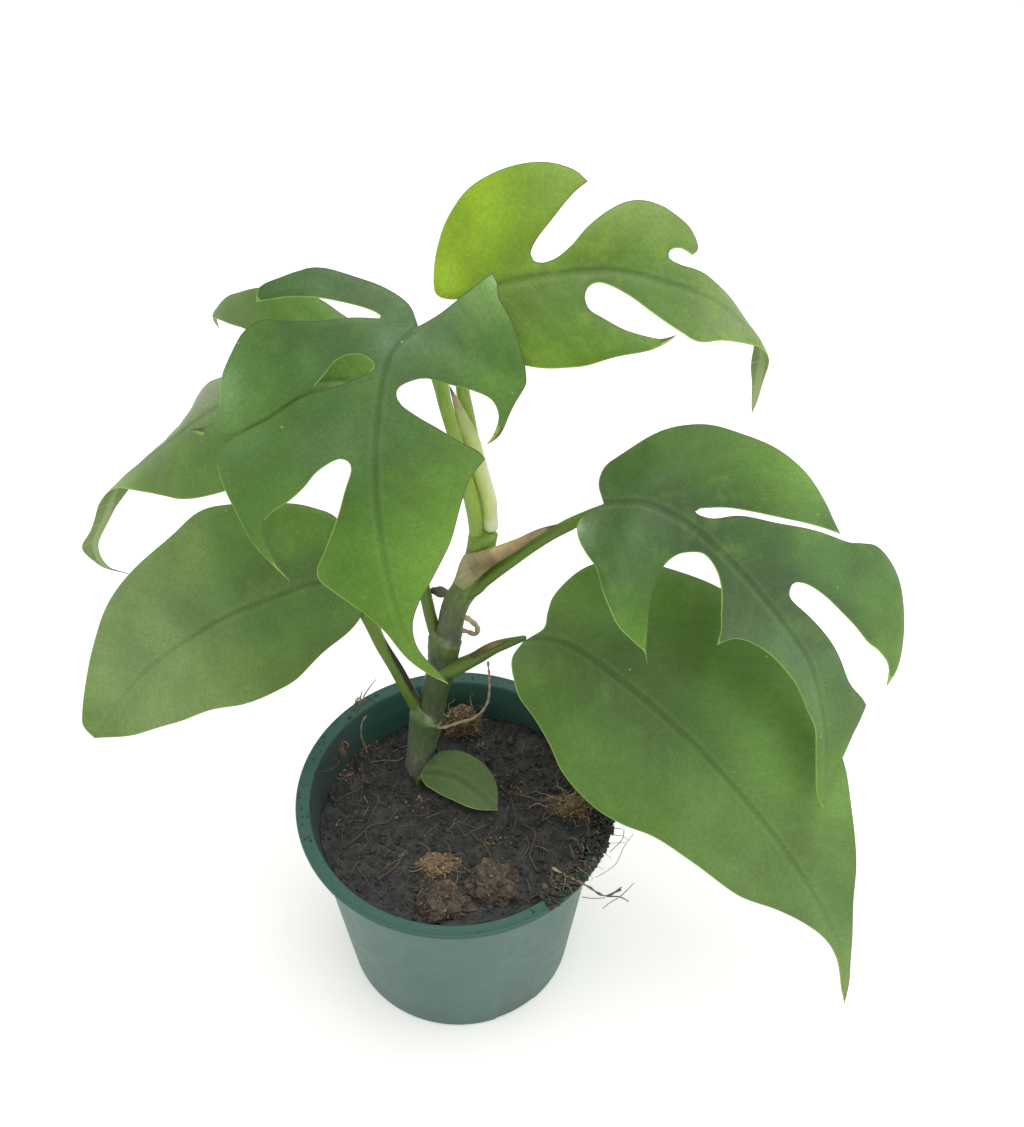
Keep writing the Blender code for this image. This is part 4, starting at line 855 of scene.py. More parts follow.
# Tones are (along, across, colour) on the flat leaf; besides the leaf's own colours they hold painted sheen
# and shade, and painted light where other leaves shade it. Leaf 5's spots are painted sheen. lift darkens the
# high leaves, which the lamp lights most, and lightens the low ones: painted shade and light.
LEAF_LOOKS = {
    1: {"seed": 3.0, "lift": (1.05, 1.11, 1.2), "quilt": 0.36, "warm": (124, 160, 60), "tones": [
        (8, 0, (85, 114, 52)), (8, 22, (95, 128, 50)), (8, -18, (88, 118, 50)),
        (30, 0, (82, 112, 48)), (30, 26, (88, 119, 48)), (30, -24, (92, 122, 50)),
        (52, 0, (100, 127, 66)), (52, 28, (111, 137, 68)), (52, -22, (113, 141, 68)),
        (72, 0, (119, 143, 82)), (72, 25, (115, 139, 76)), (72, -20, (127, 152, 83)),
        (93, 0, (124, 148, 85)), (93, 16, (122, 147, 82)), (93, -13, (124, 148, 83)),
        (114, 0, (109, 136, 68))]},
    2: {"seed": 5.0, "lift": (0.98, 1.03, 0.93), "warm": (118, 152, 66), "tones": [
        (10, 5, (118, 154, 74)), (22, 22, (88, 124, 46)), (22, 6, (90, 125, 46)),
        (22, -8, (79, 112, 46)), (38, -8, (84, 119, 54)), (38, 24, (97, 128, 53)),
        (38, 8, (98, 128, 60)), (50, 36, (84, 118, 40)), (54, -8, (89, 122, 54)),
        # a pale grey band on the folded back half: painted sheen
        (54, 9, (160, 165, 142)), (68, 10, (144, 150, 122)), (82, 8, (162, 168, 142)),
        (68, -8, (94, 127, 58)), (82, -8, (84, 116, 49)), (56, 38, (80, 113, 31)),
        (68, -21, (101, 134, 62)), (84, -17, (112, 140, 70)), (98, 0, (131, 154, 98)),
        (113, 0, (178, 194, 136)),
        (130, 0, (138, 157, 98)), (148, 0, (132, 152, 92))]},
    3: {"seed": 7.0, "lift": (0.95, 1.04, 1.06), "veins": (7.5, 0.75, 0.004), "quilt": 0.2,
        "warm": (112, 146, 66), "tones": [
        (8, 0, (86, 110, 51)), (12, -20, (103, 134, 60)), (12, 18, (82, 112, 38)),
        (30, 0, (76, 105, 43)), (26, -30, (96, 130, 51)), (30, 28, (83, 114, 41)),
        (42, -38, (80, 109, 40)), (45, -18, (77, 105, 42)), (50, 0, (77, 105, 43)),
        (50, 25, (85, 115, 45)), (52, 38, (97, 129, 53)), (66, -40, (96, 131, 54)),
        (68, -18, (93, 127, 54)), (70, 0, (81, 111, 47)), (72, 24, (88, 116, 47)),
        (74, 36, (93, 121, 50)), (86, -38, (108, 143, 62)), (90, -18, (102, 136, 59)),
        (92, 0, (91, 119, 54)), (96, 20, (99, 126, 60)), (108, -26, (114, 146, 70)),
        (114, 0, (95, 121, 58)), (116, 17, (101, 126, 64)), (128, -14, (107, 133, 66)),
        (134, 0, (100, 126, 68)), (150, 0, (109, 134, 74)), (168, 0, (131, 151, 84))]},
    4: {"seed": 9.0, "lift": (0.68, 0.78, 0.83), "warm": (126, 160, 66),
        "spots": [(-6, 10, 2.2, (186, 202, 160)), (71.5, -34.5, 1.6, (150, 176, 124))], "tones": [
        (-4, 9, (116, 138, 84)), (4, 0, (88, 116, 60)), (8, -16, (92, 126, 48)),
        (8, 18, (88, 120, 56)), (20, 36, (102, 139, 55)), (38, 38, (118, 158, 48)),
        (22, -22, (87, 122, 38)), (24, 0, (79, 104, 59)), (24, 20, (82, 114, 50)),
        (38, -28, (103, 137, 54)), (40, 0, (77, 101, 57)), (39, -10, (74, 100, 48)),
        (52, -34, (136, 170, 74)),
        (52, -12, (86, 113, 59)), (54, 6, (81, 107, 60)), (66, -28, (103, 136, 69)),
        (66, -6, (85, 110, 64)), (66, 12, (104, 131, 76)), (80, -38, (97, 129, 62)),
        (88, -6, (88, 112, 66)), (88, 7, (116, 143, 90)), (98, -36, (108, 142, 62)),
        (103, -8, (102, 130, 76)), (102, 7, (128, 155, 92)), (114, -32, (119, 154, 63)),
        (116, -8, (108, 136, 74)), (114, 4, (130, 158, 86)),
        (130, 0, (124, 154, 73)), (143, 0, (138, 170, 71))]},
    5: {"seed": 11.0, "lift": (0.8, 0.92, 0.96), "warm": (108, 146, 46),
        # the slit between two lobes, with painted shade along it
        "crease_shade": [(30, 24, 4), (33.5, 30, 4), (36.5, 35, 4), (39.5, 41, 4), (42, 46, 3)],
        # painted sheen: glossy patches and the pale band beside the slit
        "spots": [(31, 44, 4.5, (134, 164, 104)), (20.5, 22, 3.4, (92, 126, 64)),
                  (8, 3, 3, (118, 140, 104)), (-22, -14, 2.4, (146, 176, 110)),
                  (40, 34, 3.2, (100, 132, 70)), (43.5, 40, 3.2, (102, 134, 72))], "tones": [
        (-20, -14, (130, 158, 84)), (-6, -24, (80, 112, 44)), (-4, 0, (109, 131, 84)),
        (-4, 22, (108, 127, 88)), (8, -34, (104, 137, 55)), (8, -16, (95, 124, 60)),
        (8, 0, (102, 123, 79)), (6, 34, (72, 101, 44)), (10, 16, (86, 112, 60)),
        (24, 0, (97, 127, 68)), (26, 11, (76, 108, 50)), (24, 20, (80, 114, 46)),
        (28, 40, (95, 129, 52)), (31, 47, (112, 140, 76)), (38, 52, (108, 136, 68)),
        (38, -6, (88, 120, 54)), (39, 9, (104, 130, 76)), (38, -26, (110, 142, 60)),
        (44, 34, (95, 129, 52)), (54, -20, (116, 151, 52)), (54, -4, (88, 122, 47)),
        (54, 8, (70, 105, 28)), (58, 38, (94, 130, 48)), (66, 24, (114, 152, 54)),
        (68, -16, (131, 169, 60)), (70, -3, (103, 140, 48)), (70, 9, (85, 121, 35)),
        (84, -8, (120, 158, 52)), (84, 6, (98, 134, 41)),
        (98, 0, (113, 147, 45)), (114, 0, (118, 150, 52))]},
    6: {"seed": 13.0, "lift": (0.69, 0.78, 0.58), "warm": (158, 190, 60), "line": (92, 130, 44),
        "quilt": 0.22, "tones": [
        (-6, -10, (184, 210, 62)), (8, -24, (162, 192, 42)), (24, -26, (138, 168, 42)),
        (6, -8, (148, 180, 38)), (22, -10, (124, 156, 40)), (8, 8, (113, 141, 64)),
        (24, 8, (98, 128, 55)), (14, 22, (126, 158, 50)), (34, 20, (108, 142, 38)),
        (54, 20, (114, 145, 62)), (40, -6, (99, 133, 38)), (42, 8, (103, 131, 66)),
        (38, -18, (148, 171, 84)), (54, -17, (137, 160, 92)), (56, -4, (108, 140, 59)),
        (58, 8, (103, 130, 69)), (68, 0, (113, 140, 75)), (80, 7, (126, 152, 94)),
        (75, -5, (146, 170, 112)), (83, -4, (192, 202, 168)), (97, 0, (138, 170, 62)),
        (115, 0, (140, 168, 60))]},
    "small": {"lift": (0.9, 0.98, 1.14), "step": 0.9, "grid": 0.9, "quilt": 0.1, "wave": 0.2,
              "veins": (3.2, 0.6, 0.01), "warm": (86, 110, 56), "tones": [
                  (4, 0, (82, 100, 54)), (16, 5, (88, 108, 54)), (16, -5, (84, 104, 50)),
                  (28, 0, (92, 112, 56))]},
}


def make_leaves():
    for number, leaf in LEAVES.items():
        look = dict(LEAF_LOOK, **LEAF_LOOKS[number])
        node = "leaf_%d" % number
        leaf_piece("blade_%d" % number, leaf, look, [node], "young_leaf" if number == 6 else "leaf",
                   leaf_materials(number, look))
    look = dict(LEAF_LOOK, **LEAF_LOOKS["small"])
    leaf_piece("blade_small", SMALL_LEAF, look, ["small_leaf"], "leaf", leaf_materials("small", look))


# ---------------------------------------------------------------- stem, petioles, sheaths
def tinted(name, roughness, streak, mottle, depth):
    """Plant tissue coloured by its vertices, with streaks along it and fine mottling."""
    paint = Paint(name, roughness, 0.3)
    colour = paint.attribute("tint", "Color")
    run = paint.math("MULTIPLY", paint.attribute("run"), 0.02)
    turn = paint.math("MULTIPLY", paint.attribute("turn"), 1.6)
    where = paint.node("ShaderNodeCombineXYZ", {0: run, 1: turn, 2: 0.0})
    lines = paint.node("ShaderNodeTexNoise", {"Vector": where.outputs[0], "Scale": 7.0, "Detail": 3.0})
    shade = paint.ramp(lines.outputs["Fac"], 0.3, 0.7, 1 - streak, 1 + streak)
    spots = paint.ramp(paint.noise(700, 4, roughness=0.7), 0.3, 0.72, 1 - mottle, 1 + mottle)
    colour = paint.shaded(colour, paint.math("MULTIPLY", shade, spots))
    height = paint.math("ADD", lines.outputs["Fac"], paint.noise(1200, 3))
    return paint.finish(colour, None, height, depth)


# Stem colours by height: the stem's own colours, with painted light on the low stem where the leaves shade it
# and painted highlight on the upper segments.
STEM_TONES = [
    (60, (118, 104, 92)), (74, (132, 126, 108)), (82, (124, 130, 106)), (92, (100, 117, 82)),
    (99, (84, 110, 68)), (101.2, (88, 115, 69)), (102, (142, 148, 114)), (103, (84, 96, 66)),
    (112, (76, 90, 58)), (121, (70, 88, 52)), (128, (66, 82, 52)), (132, (80, 100, 50)),
    (134.8, (86, 110, 50)), (136.2, (124, 128, 98)), (138, (88, 96, 68)), (143, (90, 98, 70)),
    (148, (92, 106, 66)), (157, (104, 124, 66)), (163, (104, 130, 58)), (171, (116, 152, 56)),
    (176, (124, 160, 62)), (179, (130, 164, 66)),
]
NODE_RINGS = (101, 135.6)  # heights of the raised rings
STEM_STEP = 0.7
STEM_SIDES = 40
STALK_STEP = 1.2
STALK_SIDES = 28
STALK_MEETS = 2.0  # how far along the midrib a stalk ends
STALK_TAPER = 0.8
STALK_DEPTH = 0.6  # between a stalk's skin and the middle of the blade


def make_stem(tissue):
    path, length = even_path(STEM, STEM_STEP)
    rise = path[:, 2]

    def relief(run, angle):
        z = np.interp(run, length, rise)
        ring = sum(0.25 * math.exp(-((z - node) / 0.8) ** 2) for node in NODE_RINGS)
        return ring + 0.14 * np.sin(3 * angle + z * 0.15) + 0.1 * np.sin(7 * angle - z * 0.31)

    verts, faces, run, angle = tube(STEM, STEM_STEP, STEM_SIDES, relief, 0.2)
    verts = verts + 0.12 * ripple(verts, 0.5, 4.0, 2)[:, None] * np.array([1, 1, 0.3])
    z = np.interp(run, length, rise)
    piece("stalk", verts, faces, [tissue], ["main_stem"], "stem",
          tint=blended(STEM_TONES, z + 0.8 * np.sin(angle * 2)), run=run, turn=np.cos(angle))


PETIOLE_TONES = {
    1: [(0, (96, 120, 52)), (0.3, (94, 122, 46)), (0.8, (106, 134, 54)), (1, (90, 118, 52))],
    2: [(0, (84, 112, 44)), (0.5, (100, 130, 48)), (1, (98, 124, 54))],
    3: [(0, (92, 112, 50)), (0.4, (90, 116, 46)), (1, (86, 114, 50))],
    4: [(0, (86, 118, 42)), (0.4, (98, 130, 44)), (1, (96, 126, 52))],
    5: [(0, (148, 180, 78)), (0.6, (160, 194, 84)), (1, (134, 168, 76))],
    6: [(0, (138, 170, 74)), (0.6, (150, 182, 80)), (1, (130, 164, 72))],
}


def tissue_piece(name, node, slot, tissue, points, step, sides, tones, relief=None):
    """A stalk or root swept along its points, with tones that run from its start to its end."""
    verts, faces, run, angle = tube(points, step, sides, relief)
    piece(name, verts, faces, [tissue], [node], slot, tint=blended(tones, run / run.max()), run=run,
          turn=np.cos(angle))


def with_end(route, blade):
    """The petiole's route, carried on to just under the start of the blade's midrib."""
    ribs, _, _, ups = blade.frame(np.array([STALK_MEETS]))
    rib, up = ribs[0], ups[0]
    approach = rib - np.array(route[-1][:3])
    cosine = approach @ up / np.linalg.norm(approach)
    radius = route[-1][3] * STALK_TAPER
    reach = radius * math.sqrt(1 - cosine ** 2)
    return route + [(*(rib - up * (reach + STALK_DEPTH)), radius)]


def make_petioles(tissue):
    for number, route in PETIOLES.items():
        points = with_end(route, Blade(LEAVES[number]))
        length = even_path(points, STALK_STEP)[1][-1]
        plump = 0.3 if number == 5 else 0.0

        def relief(run, angle):
            groove = 0.28 * np.exp(-((angle - math.pi / 2) / 0.5) ** 2)
            knee = 0.3 * math.exp(-((run - length + 14) / 5) ** 2)
            swell = plump * min(1, run / 8, (length - run) / 12)
            taper = 0.5 * max(0, 1 - (length - run) / 6)
            return swell + knee - taper - groove * min(1, run / 20)

        tissue_piece("leafstalk_%d" % number, "petiole_%d" % number, "petiole", tissue, points,
                     STALK_STEP, STALK_SIDES, PETIOLE_TONES[number], relief)
    tissue_piece("leafstalk_small", "small_petiole", "petiole", tissue,
                 with_end(SMALL_PETIOLE, Blade(SMALL_LEAF)), 0.8, 14,
                 [(0, (90, 98, 60)), (1, (96, 120, 66))])


# Colours over each sheath, as (along, across, colour). The dry sheath's hold a painted lit band and a painted
# fold shadow.
SHEATH_TONES = {
    "green_sheath": [
        (1, -2, (220, 236, 176)), (1, 2, (240, 246, 210)), (9, -3, (188, 208, 102)),
        (9, 0, (216, 232, 136)), (9, 3, (240, 246, 206)), (20, -3, (186, 206, 98)),
        (20, 0, (206, 224, 124)), (20, 3, (240, 246, 204)), (34, -2, (188, 206, 106)),
        (34, 2, (226, 238, 162)), (46, 0, (216, 224, 154)), (54, 0, (216, 200, 156)),
        (59, 0, (136, 110, 84))],
    # painted light and shade: a pale lit band and a dark shadow along the fold
    "dry_sheath": [
        (1, -3, (162, 164, 114)), (1, 0, (148, 150, 98)), (6, -4, (176, 172, 130)),
        (5, -1, (158, 160, 112)), (11, -7, (184, 172, 134)), (11, -3, (122, 110, 82)),
        (10, -1, (150, 142, 100)), (15, -4, (190, 172, 130)), (15, -1.5, (118, 102, 72)),
        (21, -2.5, (224, 200, 150)), (21, 0, (134, 112, 82)), (28, -1, (212, 188, 138)),
        (28, 0.8, (110, 92, 66)), (34, 0, (166, 148, 108)), (41, 0, (96, 84, 64))],
    "dry_strip_3": [
        (1, 0, (96, 84, 58)), (5, 0.5, (84, 64, 46)), (6, -0.5, (140, 116, 80)),
        (11, 0, (152, 126, 90)), (14, 0, (104, 84, 60))],
    "dry_strip_1": [(1, 0, (88, 78, 62)), (10, 0, (58, 52, 48)), (22, 0, (60, 52, 48))],
}


def make_sheaths(fresh, dry):
    for name, sheath in SHEATHS.items():
        shape = dict(sheath, fold_left=(0, 0), fold_right=(0, 0),
                     curl_left=sheath["curl"], curl_right=sheath["curl"])
        blade = Blade(shape)
        loop = smooth_outline(shape["outline"], SHEATH_STEP)
        flat, faces = flat_mesh(loop, blade_grid(loop, SHEATH_STEP))
        along, across = flat[:, 0], flat[:, 1]
        middle, normal = blade.place(along, across), blade.normal(along, across)
        frill = 0.04 * np.sin(across * 5 + 0.4 * np.sin(along * 0.3)) + 0.12 * ripple(
            np.stack([along, across, along * 0], -1), 0.3, 2.0, 2)
        top = middle + normal * (SHEATH_HALF + frill)[:, None]
        under = middle - normal * (SHEATH_HALF - frill)[:, None]
        skins, _, _ = two_skins(flat, faces)
        tint = leaf_tint({"tones": SHEATH_TONES[name], "blend": 1.6, "lift": (1, 1, 1)}, along, across)
        tissue = fresh if name == "green_sheath" else dry
        piece("skin_" + name, np.vstack([top, under]), skins, [tissue], [name], sheath["finish"],
              tint=np.vstack([tint, tint]), run=np.tile(along, 2),
              turn=np.tile(across * 0.9, 2))


# ---------------------------------------------------------------- roots
# Share of the modelled thickness that is drawn, and colours from the start to the end.
ROOT_LOOKS = {
    "aerial_root_loop": (1.0, [(0, (194, 182, 138)), (0.5, (200, 186, 144)), (1, (170, 150, 118))]),
    "aerial_root_nub": (1.0, [(0, (112, 108, 88)), (1, (80, 74, 64))]),
    "aerial_root_thread": (0.85, [(0, (178, 156, 126)), (0.5, (164, 146, 120)), (1, (172, 154, 130))]),
    "stray_root_right": (0.75, [(0, (190, 176, 146)), (0.4, (132, 120, 102)), (1, (96, 92, 84))]),
    "stray_root_left": (0.6, [(0, (130, 112, 90)), (1, (168, 148, 118))]),
}


def root_relief(run, angle):
    return 0.12 * math.sin(run * 1.7) + 0.05 * np.sin(angle * 3 + run)


def make_roots(tissue):
    for name, route in {**STEM_ROOTS, **STRAY_ROOTS}.items():
        slim, colours = ROOT_LOOKS[name]
        route = [(x, y, z, radius * slim) for x, y, z, radius in route]
        tissue_piece("fine_" + name, name, "root", tissue, route, 0.5, 12, colours, root_relief)
    for name, route in SURFACE_ROOTS.items():
        path = smooth_path(route, 6)
        points = []
        for number, (x, y) in enumerate(path):
            radius = 0.4 * (1 - 0.5 * number / (len(path) - 1))
            points.append((x, y, soil_height(x, y) + radius + 0.5, radius))
        tissue_piece("fine_" + name, name, "root", tissue, points, 0.6, 10,
                     [(0, (86, 76, 64)), (1, (118, 104, 84))])


# ---------------------------------------------------------------- pot
def body_radius(z):
    """Outer radius of the pot's tapering body."""
    return BASE_RADIUS + (BODY_TOP_RADIUS - BASE_RADIUS) * z / SKIRT_END


def inner_radius(z):
    """Radius of the room inside the pot at a height."""
    return min(body_radius(z) - WALL, RIM_RADIUS - FLANGE_WIDTH)


def filleted(points):
    """Profile through (radius, height, fillet) points with rounded corners."""
    made = []
    for number, (r, z, fillet) in enumerate(points):
        here = np.array([r, z])
        if number in (0, len(points) - 1) or not fillet:
            made.append(here)
            continue
        before = np.array(points[number - 1][:2]) - here
        after = np.array(points[number + 1][:2]) - here
        start = here + before / np.linalg.norm(before) * fillet
        end = here + after / np.linalg.norm(after) * fillet
        for t in (0, 0.25, 0.5, 0.75, 1):
            made.append(start * (1 - t) ** 2 + here * 2 * t * (1 - t) + end * t ** 2)
    return np.array(made)


def pot_material():
    """Satin teal plastic: faint flow streaks, pale pits, peat dust on the flange, and painted shade that
    darkens the flange and the wall inside.
    """
    paint = Paint("pot_plastic", 0.4, 0.22)
    height = paint.attribute("height")
    broad = paint.noise(28, 3)
    streak = paint.noise(60, 3, (1, 1, 0.08))
    mixed = paint.math("ADD", paint.math("MULTIPLY", broad, 0.6), paint.math("MULTIPLY", streak, 0.4))
    colour = paint.mix(paint.ramp(mixed, 0.35, 0.65), tone(77, 111, 101), tone(84, 118, 107))
    # the flange's top is painted darker: painted shade from the leaves above it
    flange = paint.ramp(height, *FLANGE_SHADE_FADE)
    colour = paint.mix(flange, colour, tone(60, 96, 84))
    # the wall inside is painted darker than the outside, a painted shade in the pot's hollow, and stained
    # with peat except at the back
    where = paint.node("ShaderNodeSeparateXYZ", {0: paint.node("ShaderNodeTexCoord").outputs["Object"]})
    stain = paint.ramp(where.outputs[1], *STAIN_FADE)
    wall = paint.mix(stain, tone(62, 98, 90), tone(68, 82, 80))
    colour = paint.mix(paint.attribute("inside"), colour, wall)
    dust = paint.math("MULTIPLY", paint.ramp(paint.noise(420, 4, roughness=0.7), 0.56, 0.7), flange)
    colour = paint.over(colour, dust, 0.5, (48, 46, 38))
    colour = paint.over(colour, paint.ramp(paint.noise(1500, 1), 0.77, 0.81), 0.5, (168, 182, 172))
    gloss = paint.ramp(paint.noise(200, 3), 0.3, 0.7, 0.41, 0.47)
    return paint.finish(colour, gloss, paint.noise(600, 2), 0.00005)


def make_pot():
    flange = RIM_RADIUS - FLANGE_WIDTH
    outline = filleted([
        (0, FLOOR, 0), (body_radius(FLOOR) - WALL, FLOOR, 1.0),
        (body_radius(SKIRT_END) - WALL, SKIRT_END, 0.5), (flange, POT_HEIGHT - 0.9, 0.3),
        (flange + 0.5, POT_HEIGHT - 0.1, 0.3), (flange + 2.4, POT_HEIGHT - 0.3, 0.8),
        (RIM_RADIUS - 1.4, POT_HEIGHT - 0.2, 0.4), (RIM_RADIUS - 0.9, POT_HEIGHT, 0.25),
        (RIM_RADIUS, POT_HEIGHT - 0.2, 0.3), (RIM_RADIUS, POT_HEIGHT - LIP_DEPTH, 0.4),
        (SKIRT_RADIUS, POT_HEIGHT - LIP_DEPTH - 0.6, 0.4), (SKIRT_RADIUS - 0.5, SKIRT_END + 0.8, 0.3),
        (BODY_TOP_RADIUS, SKIRT_END, 0.3), (body_radius(1), 1, 0.4), (body_radius(0) - 1, 0, 0.4),
        (body_radius(0) - 5, 0, 0), (0, 0, 0)])
    sides = POT_SIDES
    angle = np.arange(sides) * 2 * math.pi / sides
    verts, faces, height, inside = [], [], [], []
    top = int(np.argmax(outline[:, 1]))
    for number, (r, z) in enumerate(outline):
        if r == 0:
            verts.append(np.array([[0, 0, z]]))
        else:
            verts.append(np.stack([r * np.cos(angle), r * np.sin(angle), np.full(sides, z)], -1))
        here = len(verts[-1])
        height += [z] * here
        inside += [1.0 if number < top and r < flange + 0.4 else 0.0] * here
    starts = np.concatenate([[0], np.cumsum([len(ring) for ring in verts])])
    for k in range(len(verts) - 1):
        a, b = starts[k], starts[k + 1]
        for n in range(sides):
            m = (n + 1) % sides
            if len(verts[k]) == 1:
                faces.append((a, b + n, b + m))
            elif len(verts[k + 1]) == 1:
                faces.append((a + n, b, a + m))
            else:
                faces.append((a + n, b + n, b + m, a + m))
    verts = np.vstack(verts)
    for slot in range(DRAIN_SLOTS):
        middle = math.radians(DRAIN_FIRST_ANGLE + slot * 360 / DRAIN_SLOTS)
        around = (np.arctan2(verts[:, 1], verts[:, 0]) - middle + math.pi) % (2 * math.pi) - math.pi
        reach = np.hypot(verts[:, 0], verts[:, 1])
        lifted = (np.abs(around) * BASE_RADIUS < DRAIN_WIDTH / 2) & (verts[:, 2] < 1.5)
        verts[lifted & (reach > BASE_RADIUS - DRAIN_DEPTH), 2] = DRAIN_RISE
    piece("pot", verts, faces, [pot_material()], ["nursery_pot"], "pot_plastic",
          height=height, inside=inside)


# ---------------------------------------------------------------- potting mix
SOIL_GRID = 0.85  # between the points of the mix's surface
SOIL_SIDES = 300


def soil_height(x, y):
    """Height of the mix: a slope, a heap and gentle bumps."""
    heap = math.exp(-((x - HEAP_CENTRE[0]) ** 2 + (y - HEAP_CENTRE[1]) ** 2) / HEAP_SPREAD ** 2)
    bumps = 1.3 * noise.noise((x * 0.09, y * 0.09, 4.2)) + 0.7 * noise.noise((x * 0.2, y * 0.2, 8.1))
    return SOIL_LEVEL + SOIL_SLOPE_X * x + SOIL_SLOPE_Y * y + HEAP_RISE * heap + 2 * bumps


def crumb_height(x, y):
    """Height of the fine crumbly surface."""
    clod = 1.0 * noise.noise((x * 0.42, y * 0.42, 1.0)) + 0.5 * noise.noise((x * 1.0, y * 1.0, 6.0))
    return soil_height(x, y) + clod + 0.25 * noise.noise((x * 2.2, y * 2.2, 2.0))


def peat_material():
    """Dark moist peat with brown and tan grains."""
    paint = Paint("potting_mix", 0.9, 0.25)
    grains = paint.noise(900, 4, roughness=0.75)
    clods = paint.noise(220, 3)
    colour = paint.mix(paint.ramp(clods, 0.3, 0.7), tone(54, 56, 56), tone(76, 77, 74))
    colour = paint.mix(paint.ramp(grains, 0.55, 0.75, 0, 0.4), colour, tone(94, 90, 80))
    colour = paint.mix(paint.ramp(paint.noise(1700, 2), 0.7, 0.76, 0, 0.5), colour, tone(160, 144, 118))
    return paint.finish(colour, None, paint.math("ADD", grains, clods), 0.0004)


def crumb_material(name, roughness=0.9):
    """Loose bits, each with its own shade between dark peat and tan."""
    paint = Paint(name, roughness, 0.25)
    colour = paint.attribute("tint", "Color")
    spots = paint.ramp(paint.noise(1500, 3), 0.3, 0.7, 0.75, 1.25)
    return paint.finish(paint.shaded(colour, spots), None, paint.noise(2200, 3), 0.0002)


def make_soil(peat):
    grid = SOIL_GRID
    limit = inner_radius(POT_HEIGHT) - 0.2
    span = np.arange(-limit, limit + grid, grid)
    points = np.array([(x + (grid / 2 if k % 2 else 0), y) for k, y in enumerate(span) for x in span])
    points = points[np.hypot(points[:, 0], points[:, 1]) < limit - 0.5]
    angle = np.arange(SOIL_SIDES) * 2 * math.pi / SOIL_SIDES
    ring = np.stack([np.cos(angle), np.sin(angle)], -1) * limit
    found, faces = flat_mesh(ring, points)
    verts = []
    for x, y in found:
        z = crumb_height(x, y)
        room = inner_radius(z) - 0.15
        reach = math.hypot(x, y)
        shrink = min(1.0, room / reach) if reach > room else 1.0
        verts.append((x * shrink, y * shrink, z))
    skins = [tuple(face) for face in faces]
    first = skins[0]
    a, b, c = (found[v] for v in first)
    if (b[0] - a[0]) * (c[1] - a[1]) - (b[1] - a[1]) * (c[0] - a[0]) < 0:
        skins = [face[::-1] for face in skins]
    borders = {(here, after) for face in skins for here, after in zip(face, face[1:] + face[:1])}
    rim = [pair for pair in borders if pair[::-1] not in borders]
    floor = FLOOR + 0.5
    lower = {}
    for here, _ in rim:
        x, y, _ = verts[here]
        shrink = (inner_radius(floor) - 0.3) / math.hypot(x, y)
        lower[here] = len(verts)
        verts.append((x * shrink, y * shrink, floor))
    verts.append((0, 0, floor))
    for here, after in rim:
        skins.append((after, here, lower[here], lower[after]))
        skins.append((lower[after], lower[here], len(verts) - 1))
    piece("mix", verts, skins, [peat], ["potting_mix"], "potting_mix")


CRUMB_TONES = [(0, (60, 61, 59)), (0.5, (72, 71, 67)), (0.75, (86, 82, 74)), (0.88, (112, 102, 86)),
               (0.96, (146, 130, 106)), (1, (186, 170, 144))]
LUMP_TONES = [(0, (68, 62, 56)), (0.4, (92, 82, 71)), (0.8, (122, 107, 89)), (1, (150, 132, 108))]
FIBRE_TONES = [(0, (82, 75, 65)), (0.4, (106, 96, 81)), (0.75, (142, 127, 103)), (1, (190, 172, 142))]
TAN_TONES = [(0, (98, 84, 68)), (0.5, (146, 124, 98)), (1, (184, 160, 130))]
FRONT_TONES = [(0, (64, 60, 55)), (0.5, (98, 87, 73)), (1, (148, 130, 104))]


def base_ball():
    """Twelve-cornered ball for crumbs."""
    g = (1 + 5 ** 0.5) / 2
    corners = [(-1, g, 0), (1, g, 0), (-1, -g, 0), (1, -g, 0), (0, -1, g), (0, 1, g),
               (0, -1, -g), (0, 1, -g), (g, 0, -1), (g, 0, 1), (-g, 0, -1), (-g, 0, 1)]
    sides = [(0, 11, 5), (0, 5, 1), (0, 1, 7), (0, 7, 10), (0, 10, 11), (1, 5, 9), (5, 11, 4),
             (11, 10, 2), (10, 7, 6), (7, 1, 8), (3, 9, 4), (3, 4, 2), (3, 2, 6), (3, 6, 8),
             (3, 8, 9), (4, 9, 5), (2, 4, 11), (6, 2, 10), (8, 6, 7), (9, 8, 1)]
    return np.array(corners) / math.hypot(1, g), sides


def crumb(centre, size):
    """One lump of a random shape and turn."""
    corners, sides = base_ball()
    shape = corners * RNG.uniform(0.6, 1.25, (12, 1)) * RNG.uniform(0.55, 1.2, 3) * size
    turn = np.array(Matrix.Rotation(RNG.uniform(0, 6.3), 3, Vector(RNG.normal(size=3)).normalized()))
    return shape @ turn.T + centre, sides


def fibre(start, length, radius, lift, wander=0.5, steep=0.0):
    """Thin bent strand that starts at a point and runs off over the mix."""
    heading = RNG.uniform(0, 2 * math.pi)
    x, y, z = start
    points = []
    count = 6
    for k in range(count):
        share = k / (count - 1)
        rise = lift * math.sin(math.pi * share) + steep * share * length
        points.append((x, y, z + rise, radius * (1 - 0.5 * share)))
        heading += RNG.normal(0, wander)
        x += math.cos(heading) * length / count
        y += math.sin(heading) * length / count
    return points


def strand(points):
    verts, faces, _, _ = tube(points, max(0.8, 0.12 * len(points)), 4)
    return verts, faces


def heap_piece(name, parts, material, nodes, slot, tones):
    """One piece of many loose bits, each with its own shade from the tones."""
    verts, faces, shade = joined(parts)
    piece(name, verts, faces, [material], nodes, slot, tint=blended(tones, shade))


def rim_point(reach, angle, z):
    """Place at a distance from the pot's axis."""
    return reach * math.cos(angle), reach * math.sin(angle), z


def upward(flatten=1.0):
    """Random direction above the horizon."""
    way = RNG.normal(size=3)
    way[2] = abs(way[2]) * flatten
    return way / np.linalg.norm(way)


